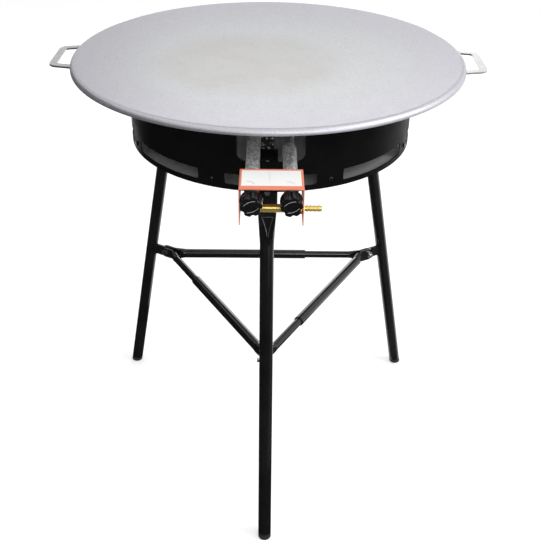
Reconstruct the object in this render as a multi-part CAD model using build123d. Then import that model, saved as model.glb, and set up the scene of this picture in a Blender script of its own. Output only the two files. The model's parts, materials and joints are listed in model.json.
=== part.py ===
from build123d import *
from build123d.topology import SkipClean
import math
import os

# A wide griddle pan on a two-ring gas burner with a slotted windshield, on a three-legged stand.
# Millimetres, +Z up, the front (the taps) towards -Y. Everything is built around the pan's upright
# axis and moved at the end, so that the origin lies on the floor under the middle of the whole object.

# Clearances
seat_gap = 0.1          # between fixed pieces that are bolted, screwed or welded together
body_gap = 0.3          # between pieces that part or move
running_gap = 0.05      # radial play of a turning or sliding fit

# Griddle pan
pan_radius = 390.0      # outside of the turned-down rim
pan_sheet = 3.0
pan_dish = 18.0         # fall from the rim's crest to the middle
rim_shoulder = 9.0      # outer radius of the rim's bend
rim_lip = 10.5          # from the crest down to the lip's edge
pan_rise = 164.5        # from the top of the legs up to the rim's crest

# Pan handles
handle_length = 140.0   # along the rim
handle_end = 118.0      # along its outer bar
handle_reach = 39.5     # out from the rim
handle_bar = 15.0
handle_sheet = 3.5
handle_outer_corner = 20.0
handle_inner_corner = 7.0
handle_under = 40.0     # how far each arm reaches in under the pan
handle_joggle = 10.0    # length of the step up to the pan's underside
pan_turn = -1.0         # degrees that the loose pan lies turned on its supports

# Stand legs
stand_height = 767.5    # floor to the top of the legs
foot_circle = 411.5     # radius of the leg axes on the floor
leg_top_circle = 250.0  # radius of the leg axes at the top
leg_radius = 13.5
leg_wall = 2.0
leg_flat_width = 35.0
leg_flat = 6.0          # thickness of the pressed end
leg_flat_length = 58.0
leg_crease = 60.0       # length over which the tube is pressed flat
foot_height = 12.0
foot_plug = 18.0        # depth of the foot's plug in the tube
foot_edge = 1.5

# Leg brackets and pan supports
bracket_sheet = 4.0
bracket_width = 38.0
bracket_rise = 66.0     # above the top of the legs
bracket_drop = 44.0     # below the top of the legs
bracket_bend = 7.0      # height of the bend above the top of the legs
support_width = 25.0
support_sheet = 5.0
support_drop = 42.0     # how far the support reaches down behind its bracket
support_corner = 6.0
support_bolt_rise = 38.0
leg_bolt_drop = 16.0

# Windshield
shield_radius = 285.5
shield_sheet = 1.5
shield_height = 145.0
shield_slots = 8
slot_width = 168.0
slot_height = 22.0
slot_low = 10.0         # from the shield's lower edge to the slot
slot_corner = 4.0
notch_width = 122.0     # the front cut-out for the feed tubes
notch_low = 60.0
notch_corner = 14.0
shield_screw_rise = 16.5
shield_turn = 0.2       # degrees from the front leg to the middle of the cut-out
shield_shift = 5.2      # how far the windshield stands right of the pan's axis
tab_width = 24.0
tab_height = 32.0
floor_slot_side = 1.0   # play round each bracket where it passes the floor plate

# Burner
tube_rise = 86.0        # burner and tap axes above the top of the legs
ring_tube = 13.5
ring_wall = 2.0
outer_ring_radius = 188.0
inner_ring_radius = 90.0
outer_ports = 24
inner_ports = 12
port_radius = 2.0
port_lean = 30.0        # degrees from straight up, towards the middle
arm_width = 25.0
arm_sheet = 6.0
arm_start = 72.0        # radius of the arms' inner ends
tap_spacing = 63.5
tap_shift = 6.5         # from the front leg to the middle between the taps
tap_plane = 406.0       # radius of the feed tubes' front ends
feed_radius = 12.2
feed_wall = 2.0
feed_end_disc = 4.0
feed_hole = 9.5         # radius of the hole in a ring where its feed tube enters
joggle_start = 298.0    # where the right tube starts to dip
joggle_drop = 29.0
joggle_radius = 40.0
joggle_angle = 45.0
riser_radius = 24.0
air_window = 9.0        # width of each air window in the feed tubes
air_window_length = 18.0
air_window_back = 30.0
air_window_turn = 50.0  # degrees from the tube's underside, to either side

# Braces between the legs
brace_z = 383.0
joint_circle = 287.0    # radius of the brace bolts
brace_tab_sheet = 5.0
brace_tab_height = 26.0
brace_bend_reach = 15.0
brace_turn = 30.0       # between a leg's upright plane and the braces that meet there
sleeve_radius = 11.0
sleeve_wall = 2.2
sleeve_flat_width = 29.0
sleeve_length = 320.0   # from the bend to the free end
rod_wall = 1.5
rod_flat_width = 24.0
rod_length = 230.0      # from the bend to the free end
brace_crease = 26.0

# Taps, measured forward from the front ends of the feed tubes
tap_body_radius = 12.0
tap_hex = 22.0
tap_hex_length = 9.0
spigot_radius = 7.0
spigot_back = 14.0
outlet_radius = 3.0
chamber_back = 25.0
chamber_radius = 7.0
tap_body_front = 56.0
inlet_forward = 33.0
inlet_radius = 2.5
boss_radius = 6.0
bonnet_hex = 24.0
bonnet_front = 69.0
bonnet_wall = 4.8
plug_front = 48.5
plug_port = 2.2
plug_slot_depth = 9.5
stem_radius = 4.0
stem_flat = 2.8         # from the stem's axis to its flat
stem_front = 95.0
collar_radius = 6.6
collar_length = 3.0
tongue_width = 7.6
tongue_sheet = 3.0
tongue_play = 0.1
tongue_back = 44.0
spring_wire = 1.0
spring_radius = 5.1
spring_turns = 4
spring_sides = 6        # flats round the spring's wire
injector_hex = 12.0
injector_length = 8.0
injector_jet = 0.9

# Knobs
knob_radius = 17.8
knob_scallops = 6
scallop_radius = 4.6
scallop_circle = 19.6   # radius of the scallops' centres
scallop_turn = 40.0     # degrees from level to the first scallop
scallop_edge = 1.6
knob_back = 78.0
knob_front = 100.0
knob_edge = 1.2
knob_skirt = 4.0
knob_skirt_radius = 18.6
knob_dish_radius = 6.5
knob_dish = 1.0

# Manifold and hose tail
manifold_drop = 37.0
manifold_radius = 7.0
manifold_bore = 4.0
manifold_left = 40.0
manifold_right = 46.0
manifold_plug_hex = 12.0
manifold_plug_head = 4.0
tail_hex = 16.0
tail_hex_length = 8.0
tail_core = 4.2
tail_rib = 5.3
tail_ribs = 4
tail_pitch = 6.4
tail_neck = 3.0
tail_bore = 2.4
thread_depth = 9.0

# Guard over the taps
guard_sheet = 1.5
guard_width = 104.0
guard_depth = 73.0
guard_side = 68.0
guard_back = 38.0
guard_rise = 17.5       # guard's top above the tap axis
guard_corner = 8.0
guard_bend = 2.5        # outside radius of the folds
label_width = 96.0
label_depth = 55.0
label_front = 12.0      # from the guard's front edge to the label
label_sheet = 0.4

# Fasteners
leg_bolt_radius = 3.0
brace_bolt_radius = 4.0
bolt_hole_play = 0.2
bolt_hex = 3.3          # across flats, as a multiple of the bolt's radius
bolt_head = 1.33        # head height, as a multiple of the bolt's radius
nut_height = 1.65       # as a multiple of the bolt's radius
leg_bolt_length = 20.0
brace_bolt_length = 24.0
screw_radius = 2.5
screw_head_radius = 4.75
screw_head = 2.8
screw_length = 9.0
screw_nut_hex = 8.0
screw_nut = 4.0

# Worked-out values
leg_slope = (foot_circle - leg_top_circle) / stand_height
leg_lean = math.degrees(math.atan(leg_slope))
lean_cos = math.cos(math.radians(leg_lean))
leg_axis_length = stand_height / lean_cos
rim_z = stand_height + pan_rise
lip_z = rim_z - rim_lip
tube_z = stand_height + tube_rise
shield_z = stand_height + seat_gap
shield_inner = shield_radius - shield_sheet
floor_radius = shield_inner - body_gap
manifold_y = -(tap_plane + inlet_forward)
manifold_z = tube_z - manifold_drop
guard_top_z = tube_z + guard_rise
rod_radius = sleeve_radius - sleeve_wall - body_gap
leg_bolt_hole = leg_bolt_radius + bolt_hole_play
brace_bolt_hole = brace_bolt_radius + bolt_hole_play
dish_angle = 2 * math.atan(pan_dish / (pan_radius - rim_shoulder))
shoulder_r = pan_radius - rim_shoulder
dish_edge = shoulder_r - rim_shoulder * math.sin(dish_angle)
dish_sphere = dish_edge / math.sin(dish_angle)
dish_top = rim_z - rim_shoulder + rim_shoulder * math.cos(dish_angle) + dish_sphere * math.cos(dish_angle)
front_reach = tap_plane + knob_front
frame_shift = (front_reach - pan_radius) / 2
LEG_TURNS = {"front": 0, "right": 120, "left": 240}
UPRIGHT = (Align.CENTER, Align.CENTER, Align.MIN)


def rod_along(plane, radius, start, end):
    """A cylinder on the plane's normal from start to end."""
    return plane * Pos(0, 0, start) * Cylinder(radius, end - start, align=UPRIGHT)


def hex_along(plane, across_flats, start, end):
    """A hexagonal prism on the plane's normal, flats up."""
    outline = RegularPolygon(across_flats / 2, 6, major_radius=False)
    return extrude(plane * Pos(0, 0, start) * outline, end - start)


def turned(shape, degrees):
    """The shape turned round the pan's upright axis."""
    return Rot(0, 0, degrees) * shape


def profile_in_yz(points, width):
    """A prism across X whose outline is given as (radius towards the front, height)."""
    outline = Polyline(*[(0, -radius, height) for radius, height in points], close=True)
    return extrude(make_face(outline), width / 2, dir=(1, 0, 0), both=True)


def leg_radius_at(height):
    """Radius of a leg's axis at a height."""
    return foot_circle - leg_slope * height


def pan_underside(radius):
    """Height of the pan's lower face at a radius inside the rim."""
    return dish_top - math.sqrt((dish_sphere + pan_sheet) ** 2 - radius ** 2)


# Frames of the front leg, its bolt and one tap
lean_rad = math.radians(leg_lean)
leg_plane = Plane(
    origin=(0, -foot_circle, 0),
    x_dir=(1, 0, 0),
    z_dir=(0, math.sin(lean_rad), math.cos(lean_rad)),
)
leg_bolt_z = stand_height - leg_bolt_drop
leg_bolt_plane = Plane(
    origin=(0, -leg_radius_at(leg_bolt_z), leg_bolt_z),
    x_dir=(1, 0, 0),
    z_dir=(0, math.cos(lean_rad), -math.sin(lean_rad)),
)
bracket_back_h = (leg_flat / 2 + seat_gap) / lean_cos
bracket_out = leg_radius_at(stand_height + bracket_bend) - bracket_back_h
bracket_in = bracket_out - bracket_sheet
support_out = bracket_in - seat_gap
support_in = support_out - support_sheet
support_bolt_z = stand_height + support_bolt_rise
support_bolt_plane = Plane(origin=(0, -bracket_out, support_bolt_z), x_dir=(1, 0, 0), z_dir=(0, 1, 0))


def tap_x(side):
    """How far right of the pan's axis a tap stands."""
    return tap_shift + side * tap_spacing / 2


def tap_plane_at(side):
    """Frame of a tap: the normal points forward, the origin is the feed tube's front end."""
    return Plane(origin=(tap_x(side), -tap_plane, tube_z), x_dir=(1, 0, 0), z_dir=(0, -1, 0))


# Pan
def make_pan():
    """Spun dish with a rounded, turned-down rim."""
    corner = Vector(shoulder_r, 0, rim_z - rim_shoulder)
    across = Vector(-math.sin(dish_angle), 0, math.cos(dish_angle))
    middle = Vector(0, 0, dish_top)

    def on_sphere(radius, share):
        angle = dish_angle * share
        return middle + Vector(radius * math.sin(angle), 0, -radius * math.cos(angle))

    def on_shoulder(radius, share):
        angle = (math.pi / 2 + dish_angle) * (1 - share)
        return corner + Vector(radius * math.cos(angle), 0, radius * math.sin(angle))

    under = dish_sphere + pan_sheet
    inside = rim_shoulder - pan_sheet
    top_edge = corner + across * rim_shoulder
    under_edge = corner + across * inside
    lip_out = Vector(pan_radius, 0, lip_z)
    lip_in = Vector(pan_radius - pan_sheet, 0, lip_z)
    outline = [
        ThreePointArc(on_sphere(dish_sphere, 0), on_sphere(dish_sphere, 0.5), top_edge),
        ThreePointArc(top_edge, on_shoulder(rim_shoulder, 0.5), on_shoulder(rim_shoulder, 1)),
        Line(on_shoulder(rim_shoulder, 1), lip_out),
        Line(lip_out, lip_in),
        Line(lip_in, on_shoulder(inside, 1)),
        ThreePointArc(on_shoulder(inside, 1), on_shoulder(inside, 0.5), under_edge),
        ThreePointArc(under_edge, on_sphere(under, 0.5), on_sphere(under, 0)),
        Line(on_sphere(under, 0), on_sphere(dish_sphere, 0)),
    ]
    return revolve(make_face(outline), Axis.Z)


def make_handle():
    """Flat-bar loop under the rim on +X, its two arms stepped up to the pan's underside."""
    outer_x = pan_radius + handle_reach
    half = handle_length / 2
    near_side = half - handle_bar
    loop_top = lip_z - seat_gap
    loop_start = math.sqrt((pan_radius - pan_sheet - body_gap) ** 2 - half ** 2)
    taper = (handle_length - handle_end) / 2 / (outer_x - loop_start)
    arm_across = handle_bar * math.hypot(1, taper)

    def tapered_plate(start, end, inset):
        """Plate between two distances from the axis, its sides drawn in by an inset."""
        wide = half + taper * (loop_start - start) - inset
        narrow = half + taper * (loop_start - end) - inset
        outline = Polyline((start, -wide), (end, -narrow), (end, narrow), (start, wide), close=True)
        return Pos(0, 0, loop_top - handle_sheet) * extrude(make_face(outline), handle_sheet)

    loop = tapered_plate(loop_start, outer_x, 0)
    loop = fillet(loop.edges().filter_by(Axis.Z).group_by(Axis.X)[-1], handle_outer_corner)
    finger_gap = tapered_plate(loop_start - handle_bar, outer_x - handle_bar, arm_across)
    finger_gap = fillet(finger_gap.edges().filter_by(Axis.Z).group_by(Axis.X)[-1], handle_inner_corner)
    handle = loop - finger_gap

    inner_x = pan_radius - handle_under
    step_end = loop_start - handle_joggle
    tip_top = pan_underside(math.hypot(inner_x, near_side)) - seat_gap
    step_top = pan_underside(math.hypot(step_end, near_side)) - seat_gap
    arm_outline = Polyline(
        (loop_start, 0, loop_top),
        (step_end, 0, step_top),
        (inner_x, 0, tip_top),
        (inner_x, 0, tip_top - handle_sheet),
        (step_end, 0, step_top - handle_sheet),
        (loop_start, 0, loop_top - handle_sheet),
        close=True,
    )
    arm = extrude(make_face(arm_outline), handle_bar, dir=(0, 1, 0))
    return handle + Pos(0, near_side, 0) * arm + Pos(0, -half, 0) * arm


# Windshield
shield_place = Pos(shield_shift, 0, 0)


def shield_face(degrees, rise):
    """Frame on the shield's outside, normal outwards, at an angle from the front."""
    plane = Plane(origin=(0, -shield_radius, shield_z + rise), x_dir=(1, 0, 0), z_dir=(0, -1, 0))
    return turned(plane.location, degrees)


def screw_angles():
    """The screws stand between the slots."""
    pitch = 360 / shield_slots
    return [shield_turn + pitch * (count + 0.5) for count in range(shield_slots)]


def make_windshield():
    """Rolled sheet with long slots near its foot and a cut-out for the feed tubes."""
    wall = Cylinder(shield_radius, shield_height, align=UPRIGHT)
    wall -= Cylinder(shield_inner, shield_height, align=UPRIGHT)
    wall = Pos(0, 0, shield_z) * wall
    reach = shield_radius / 2
    slot = extrude(RectangleRounded(slot_width, slot_height, slot_corner), -reach)
    for count in range(shield_slots):
        degrees = shield_turn + 360 / shield_slots * count
        wall -= shield_face(degrees, slot_low + slot_height / 2) * slot
    notch_height = 2 * (shield_height - notch_low)
    notch = extrude(RectangleRounded(notch_width, notch_height, notch_corner), -reach)
    wall -= shield_face(shield_turn, shield_height) * notch
    hole = Cylinder(screw_radius + bolt_hole_play, 4 * shield_sheet)
    for degrees in screw_angles():
        wall -= shield_face(degrees, shield_screw_rise) * hole
    return shield_place * wall


def make_shield_floor():
    """Floor plate with tabs bent up inside the wall and a slot for each leg bracket."""
    plate = Pos(0, 0, shield_z) * Cylinder(floor_radius, shield_sheet, align=UPRIGHT)
    ring = Cylinder(floor_radius, tab_height, align=UPRIGHT)
    ring -= Cylinder(floor_radius - shield_sheet, tab_height, align=UPRIGHT)
    tab_box = Pos(0, -floor_radius, 0) * Box(tab_width, floor_radius / 2, tab_height, align=UPRIGHT)
    tab = Pos(0, 0, shield_z) * (ring & tab_box)
    tab -= shield_face(0, shield_screw_rise) * Cylinder(screw_radius + bolt_hole_play, 8 * shield_sheet)
    for degrees in screw_angles():
        plate += turned(tab, degrees)
    plate = shield_place * plate
    slot_out = leg_radius_at(stand_height) - bracket_back_h + floor_slot_side
    slot_in = bracket_in - floor_slot_side
    slot_size = bracket_width + 2 * floor_slot_side
    slot = Pos(0, -(slot_out + slot_in) / 2, shield_z) * Box(slot_size, slot_out - slot_in, 4 * shield_sheet)
    for degrees in LEG_TURNS.values():
        plate -= turned(slot, degrees)
    return plate


def make_shield_screw():
    """Pan-head screw, its head's underside on the plane."""
    head = Cylinder(screw_head_radius, screw_head, align=UPRIGHT)
    head = chamfer(head.edges().sort_by(Axis.Z)[-1], screw_head / 2)
    head -= Pos(0, 0, screw_head) * extrude(RegularPolygon(screw_radius / 2, 6), -screw_head / 2)
    return head + Pos(0, 0, -screw_length) * Cylinder(screw_radius, screw_length, align=UPRIGHT)


def make_shield_nut():
    """Hex nut inside a tab, for the screw on the plane."""
    nut = extrude(RegularPolygon(screw_nut_hex / 2, 6, major_radius=False), screw_nut)
    nut -= Cylinder(screw_radius + running_gap, 3 * screw_nut)
    seat = shield_radius - floor_radius + shield_sheet + seat_gap
    return Pos(0, 0, -seat - screw_nut) * nut


# Burner
def make_half_ring(radius, ports, start):
    """Half of a hollow ring from an angle on, with flame ports."""
    section = Pos(radius, 0) * (Circle(ring_tube) - Circle(ring_tube - ring_wall))
    half = turned(revolve(Plane.XZ * section, Axis.Z, 180), start)
    port = Rot(0, -port_lean, 0) * Cylinder(port_radius, 2 * ring_tube, align=UPRIGHT)
    for count in range(ports // 2):
        half -= turned(Pos(radius, 0, 0) * port, start + 360 / ports * (count + 0.5))
    return Pos(0, 0, tube_z) * half


def make_ring(radius, ports, feed_bore):
    """Hollow ring of two drilled halves, the front one open where its feed tube enters."""
    front = make_half_ring(radius, ports, 180) - feed_bore
    back = make_half_ring(radius, ports, 0)
    with SkipClean():
        return front + back


def feed_front(side):
    """End disc with the tap's hole, and the air windows cut from a feed tube."""
    plane = tap_plane_at(side)
    disc = rod_along(plane, feed_radius - feed_wall, -feed_end_disc, 0)
    disc -= rod_along(plane, spigot_radius + seat_gap, -2 * feed_end_disc, feed_end_disc)
    window = Box(air_window, 2 * feed_radius, air_window_length, align=(Align.CENTER, Align.MAX, Align.MAX))
    turns = (-air_window_turn, air_window_turn)
    windows = [plane * Rot(0, 0, turn) * Pos(0, 0, -air_window_back) * window for turn in turns]
    return disc, windows


left_feed_end = -math.sqrt(outer_ring_radius ** 2 - tap_x(-1) ** 2)
inner_feed_end = -math.sqrt(inner_ring_radius ** 2 - tap_x(1) ** 2)


def left_feed_core(radius):
    """Straight feed to the outer ring, as a solid rod."""
    return rod_along(tap_plane_at(-1), radius, -(tap_plane + left_feed_end), 0)


def right_feed_path():
    """Straight, a dip under the outer ring, straight again, then up into the inner ring."""
    turn = math.radians(joggle_angle)
    arc_y = joggle_radius * math.sin(turn)
    arc_z = joggle_radius * (1 - math.cos(turn))
    slant_z = joggle_drop - 2 * arc_z
    slant_y = slant_z / math.tan(turn)
    across = tap_x(1)
    start = Vector(across, -tap_plane, tube_z)
    dip = Vector(across, -joggle_start, tube_z)
    dip_end = dip + Vector(0, arc_y, -arc_z)
    rise = dip_end + Vector(0, slant_y, -slant_z)
    low = rise + Vector(0, arc_y, -arc_z)
    riser = Vector(across, inner_feed_end - riser_radius, low.Z)
    top = Vector(across, inner_feed_end, low.Z + riser_radius)
    end = Vector(across, inner_feed_end, tube_z)
    first = Line(start, dip)
    second = TangentArc(dip, dip_end, tangent=first % 1)
    third = Line(dip_end, rise)
    fourth = TangentArc(rise, low, tangent=third % 1)
    fifth = Line(low, riser)
    sixth = TangentArc(riser, top, tangent=fifth % 1)
    return first + second + third + fourth + fifth + sixth + Line(top, end)


def right_feed_core(radius):
    """Joggled feed to the inner ring, as a solid rod."""
    start = Plane(origin=(tap_x(1), -tap_plane, tube_z), x_dir=(1, 0, 0), z_dir=(0, 1, 0))
    return sweep(start * Circle(radius), path=right_feed_path())


def make_feed_tube(core, side, ring_radius):
    """Feed tube welded to its ring, with an end disc for the tap and air windows."""
    tube = core(feed_radius) - core(feed_radius - feed_wall)
    tube -= Pos(0, 0, tube_z) * Torus(ring_radius, ring_tube + seat_gap)
    disc, windows = feed_front(side)
    tube += disc
    for window in windows:
        tube -= window
    return tube


def make_arm():
    """Flat bar under both rings, out to the pan support."""
    top = tube_z - ring_tube - seat_gap
    length = support_in - seat_gap - arm_start
    size = (arm_width, length, arm_sheet)
    return Pos(0, -arm_start, top) * Box(*size, align=(Align.CENTER, Align.MAX, Align.MAX))


def make_support():
    """Upright strap that carries the pan, behind the leg bracket."""
    low = stand_height + bracket_rise - support_drop
    top = pan_underside(support_in) - body_gap
    size = (support_width, support_sheet, top - low)
    strap = Pos(0, -support_in, low) * Box(*size, align=(Align.CENTER, Align.MAX, Align.MIN))
    strap = fillet(strap.edges().filter_by(Axis.Y).group_by(Axis.Z)[-1], support_corner)
    return strap - rod_along(support_bolt_plane, leg_bolt_hole, 0, 4 * bracket_sheet)


# Stand
def make_bracket():
    """Strap from the pan support, bent to the leg's lean, down to the leg's bolt."""
    top = stand_height + bracket_rise
    bend = stand_height + bracket_bend
    low = stand_height - bracket_drop
    sheet_h = bracket_sheet / lean_cos
    inner_bend = bend - (sheet_h - bracket_sheet) / leg_slope
    low_out = leg_radius_at(low) - bracket_back_h
    outline = [
        (bracket_out, top),
        (bracket_out, bend),
        (low_out, low),
        (low_out - sheet_h, low),
        (bracket_in, inner_bend),
        (bracket_in, top),
    ]
    bracket = profile_in_yz(outline, bracket_width)
    bracket -= rod_along(support_bolt_plane, leg_bolt_hole, -bracket_sheet, 2 * bracket_sheet)
    return bracket - rod_along(leg_bolt_plane, leg_bolt_hole, 0, 4 * bracket_sheet)


def pressed_tube(radius, flat_width, flat, start, flat_start, crease, end):
    """A tube's outside along Z, round at first and pressed flat across Y towards its end."""
    crease_start = flat_start - crease
    reach = 2 * flat_width
    tube = Pos(0, 0, start) * Cylinder(radius, crease_start - start, align=UPRIGHT)
    tube += Pos(0, 0, crease_start) * Cone(radius, flat_width / 2, crease, align=UPRIGHT)
    tube += Pos(0, 0, flat_start) * Cylinder(flat_width / 2, end - flat_start, align=UPRIGHT)
    outline = Polyline(
        (0, radius, crease_start),
        (0, flat / 2, flat_start),
        (0, flat / 2, end),
        (0, reach, end),
        (0, reach, crease_start),
        close=True,
    )
    press = extrude(make_face(outline), reach, dir=(1, 0, 0), both=True)
    return tube - press - mirror(press, Plane.XZ)


def make_leg():
    """Round tube with its top pressed flat and cut level under the windshield's floor."""
    flat_start = leg_axis_length - leg_flat_length
    end = leg_axis_length + leg_flat_width
    tube = pressed_tube(leg_radius, leg_flat_width, leg_flat, foot_height, flat_start, leg_crease, end)
    bore_end = flat_start - leg_crease - leg_wall
    leg = leg_plane * tube - rod_along(leg_plane, leg_radius - leg_wall, 0, bore_end)
    reach = 4 * leg_flat_width
    leg -= Pos(0, -leg_top_circle, stand_height) * Box(reach, reach, reach, align=UPRIGHT)
    return leg - rod_along(leg_bolt_plane, leg_bolt_hole, -leg_flat, leg_flat)


def make_foot():
    """End plug whose sole is cut level with the floor."""
    foot = rod_along(leg_plane, leg_radius, -leg_radius, foot_height - seat_gap)
    foot &= Pos(0, -foot_circle, 0) * Box(6 * leg_radius, 6 * leg_radius, 4 * foot_height, align=UPRIGHT)
    foot = chamfer(foot.faces().sort_by(Axis.Z)[0].edges(), foot_edge)
    plug_radius = leg_radius - leg_wall - seat_gap
    return foot + rod_along(leg_plane, plug_radius, foot_height / 2, foot_height + foot_plug)


def make_bolt(plane, radius, length):
    """Hex bolt, its head's underside on the plane and its shank along the normal."""
    head = hex_along(plane, bolt_hex * radius, -bolt_head * radius - seat_gap, -seat_gap)
    return head + rod_along(plane, radius, -bolt_head * radius / 2, length)


def make_nut(plane, radius, seat):
    """Hex nut on a bolt's shank."""
    height = nut_height * radius
    nut = hex_along(plane, bolt_hex * radius, seat, seat + height)
    return nut - rod_along(plane, radius + running_gap, seat - height, seat + 2 * height)


def make_brace_tab():
    """Plate welded inside a leg, in the leg's upright plane."""
    half = brace_tab_height / 2
    outer = leg_radius_at(brace_z)
    outline = [
        (outer, brace_z - half),
        (outer, brace_z + half),
        (joint_circle, brace_z + half),
        (joint_circle, brace_z - half),
    ]
    tab = profile_in_yz(outline, brace_tab_sheet)
    joint = Pos(0, -joint_circle, brace_z) * Rot(0, 90, 0)
    tab += joint * Cylinder(half, brace_tab_sheet)
    tab -= rod_along(leg_plane, leg_radius + seat_gap, 0, leg_axis_length)
    return tab - joint * Cylinder(brace_bolt_hole, 4 * brace_tab_sheet)


def make_brace_half(radius, wall, flat_width, length):
    """Half of a brace on the front leg's +X side: a bolted flat end, a bend and a tube."""
    flat = 2 * wall
    turn = math.radians(brace_turn)
    line_offset = (joint_circle - brace_bend_reach) * math.sin(turn)
    flat_x = brace_tab_sheet / 2 + seat_gap + flat / 2
    bend_y = (flat_x * math.cos(turn) - line_offset) / math.sin(turn)
    bend = Vector(flat_x, bend_y, brace_z)
    along = Plane(origin=bend, x_dir=(0, 0, 1), z_dir=(-math.sin(turn), -math.cos(turn), 0))
    half = along * pressed_tube(radius, flat_width, flat, -length, 0, brace_crease, flat / 2)
    half -= rod_along(along, radius - wall, -2 * length, -brace_crease - wall)
    half += Pos(bend.X, bend.Y, bend.Z) * Cylinder(flat / 2, flat_width)
    joint = Pos(flat_x, -joint_circle, brace_z)
    end = joint * Box(flat, bend_y + joint_circle, flat_width, align=(Align.CENTER, Align.MIN, Align.CENTER))
    end += joint * Rot(0, 90, 0) * Cylinder(flat_width / 2, flat)
    return half + end - joint * Rot(0, 90, 0) * Cylinder(brace_bolt_hole, 4 * flat)


def brace_bolt_frame():
    """Frame of the front brace bolt, and the nut's distance from the head's underside."""
    head_x = brace_tab_sheet / 2 + seat_gap + 2 * rod_wall
    plane = Plane(origin=(head_x, -joint_circle, brace_z), x_dir=(0, 1, 0), z_dir=(-1, 0, 0))
    return plane, 2 * rod_wall + brace_tab_sheet + 2 * sleeve_wall + 3 * seat_gap


# Taps
shoulder = guard_sheet + 2 * seat_gap
bonnet_inside = bonnet_front - bonnet_wall
collar_front = bonnet_inside - body_gap
collar_back = collar_front - collar_length
manifold_plane = Plane(origin=(tap_shift, manifold_y, manifold_z), x_dir=(0, 1, 0), z_dir=(1, 0, 0))


def make_tap_body(side):
    """Brass body: spigot into the feed tube, plug chamber, and a boss down to the manifold."""
    plane = tap_plane_at(side)
    body = rod_along(plane, spigot_radius, -spigot_back, shoulder)
    body += hex_along(plane, tap_hex, shoulder, shoulder + tap_hex_length)
    body += rod_along(plane, tap_body_radius, shoulder + tap_hex_length, tap_body_front)
    inlet = Location((tap_x(side), manifold_y, manifold_z))
    body += inlet * Cylinder(boss_radius, manifold_drop, align=UPRIGHT)
    body -= rod_along(manifold_plane, manifold_radius + seat_gap, -tap_spacing, tap_spacing)
    body -= inlet * Cylinder(inlet_radius, manifold_drop, align=UPRIGHT)
    body -= rod_along(plane, outlet_radius, -2 * spigot_back, chamber_back)
    return body - rod_along(plane, chamber_radius, chamber_back, 2 * tap_body_front)


def make_injector(side):
    """Jet screwed into the back of the tap's spigot."""
    plane = tap_plane_at(side)
    back = -spigot_back - seat_gap
    jet = hex_along(plane, injector_hex, back - injector_length, back)
    jet += rod_along(plane, outlet_radius - seat_gap, back - seat_gap, back + thread_depth)
    return jet - rod_along(plane, injector_jet, 2 * back - injector_length, thread_depth)


def make_plug(side):
    """Turning plug: its port faces sideways when the tap is shut."""
    plane = tap_plane_at(side)
    plug = rod_along(plane, chamber_radius - running_gap, chamber_back + body_gap, plug_front)
    plug -= rod_along(plane, plug_port, chamber_back, inlet_forward)
    cross_port = Rot(0, 90, 0) * Cylinder(plug_port, 2 * chamber_radius, align=UPRIGHT)
    plug -= plane * Pos(0, 0, inlet_forward) * cross_port
    slot = Box(tongue_width + 2 * tongue_play, tongue_sheet + 2 * tongue_play, 2 * plug_slot_depth)
    return plug - plane * Pos(0, 0, plug_front) * slot


def make_spring(side):
    """Return spring between the plug and the stem's collar."""
    start = plug_front + seat_gap + spring_wire / 2
    height = collar_back - seat_gap - spring_wire / 2 - start
    coil = Helix(height / spring_turns, height, spring_radius)
    section = Plane(origin=coil @ 0, z_dir=coil % 0) * RegularPolygon(spring_wire / 2, spring_sides)
    return tap_plane_at(side) * Pos(0, 0, start) * sweep(section, path=coil)


def make_stem(side):
    """Stem with a tongue in the plug, a collar behind the bonnet and a flat for the knob."""
    plane = tap_plane_at(side)
    stem = rod_along(plane, stem_radius, collar_front - collar_length / 2, stem_front)
    stem += rod_along(plane, collar_radius, collar_back, collar_front)
    tongue_length = collar_front - tongue_back
    stem += plane * Pos(0, 0, tongue_back) * Box(tongue_width, tongue_sheet, tongue_length, align=UPRIGHT)
    flat = Box(4 * stem_radius, 2 * stem_radius, 2 * stem_front, align=(Align.CENTER, Align.MIN, Align.MIN))
    return stem - plane * Pos(0, stem_flat, knob_back) * flat


def make_bonnet(side):
    """Hex cap that closes the chamber and guides the stem."""
    plane = tap_plane_at(side)
    bonnet = hex_along(plane, bonnet_hex, tap_body_front + seat_gap, bonnet_front)
    bonnet -= rod_along(plane, chamber_radius, tap_body_front, bonnet_inside)
    return bonnet - rod_along(plane, stem_radius + running_gap, tap_body_front, 2 * bonnet_front)


def make_knob(side):
    """Scalloped grip on a round skirt, with a shallow dished face and a D-shaped bore."""
    length = knob_front - knob_back
    scallops = PolarLocations(scallop_circle, knob_scallops, start_angle=scallop_turn)
    outline = Circle(knob_radius) - scallops * Circle(scallop_radius)
    knob = extrude(fillet(outline.vertices(), scallop_edge), length)
    knob = chamfer(knob.faces().sort_by(Axis.Z)[-1].edges(), knob_edge)
    knob += Cylinder(knob_skirt_radius, knob_skirt, align=UPRIGHT)
    knob -= Pos(0, 0, length - knob_dish) * Cylinder(knob_dish_radius, 2 * knob_dish, align=UPRIGHT)
    bore = Cylinder(stem_radius + seat_gap, stem_front - knob_back + seat_gap, align=UPRIGHT)
    flat_y = stem_flat + seat_gap
    bore -= Pos(0, flat_y, 0) * Box(
        4 * stem_radius, 2 * stem_radius, 2 * length, align=(Align.CENTER, Align.MIN, Align.MIN)
    )
    return tap_plane_at(side) * Pos(0, 0, knob_back) * (knob - bore)


# Manifold
def make_manifold():
    """Brass bar under both taps."""
    bar = rod_along(manifold_plane, manifold_radius, -manifold_left, manifold_right)
    bar -= rod_along(manifold_plane, manifold_bore, -2 * manifold_left, 2 * manifold_right)
    inlet = Cylinder(inlet_radius, manifold_drop, align=UPRIGHT)
    for side in (-1, 1):
        bar -= Pos(tap_x(side), manifold_y, manifold_z) * inlet
    return bar


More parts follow.
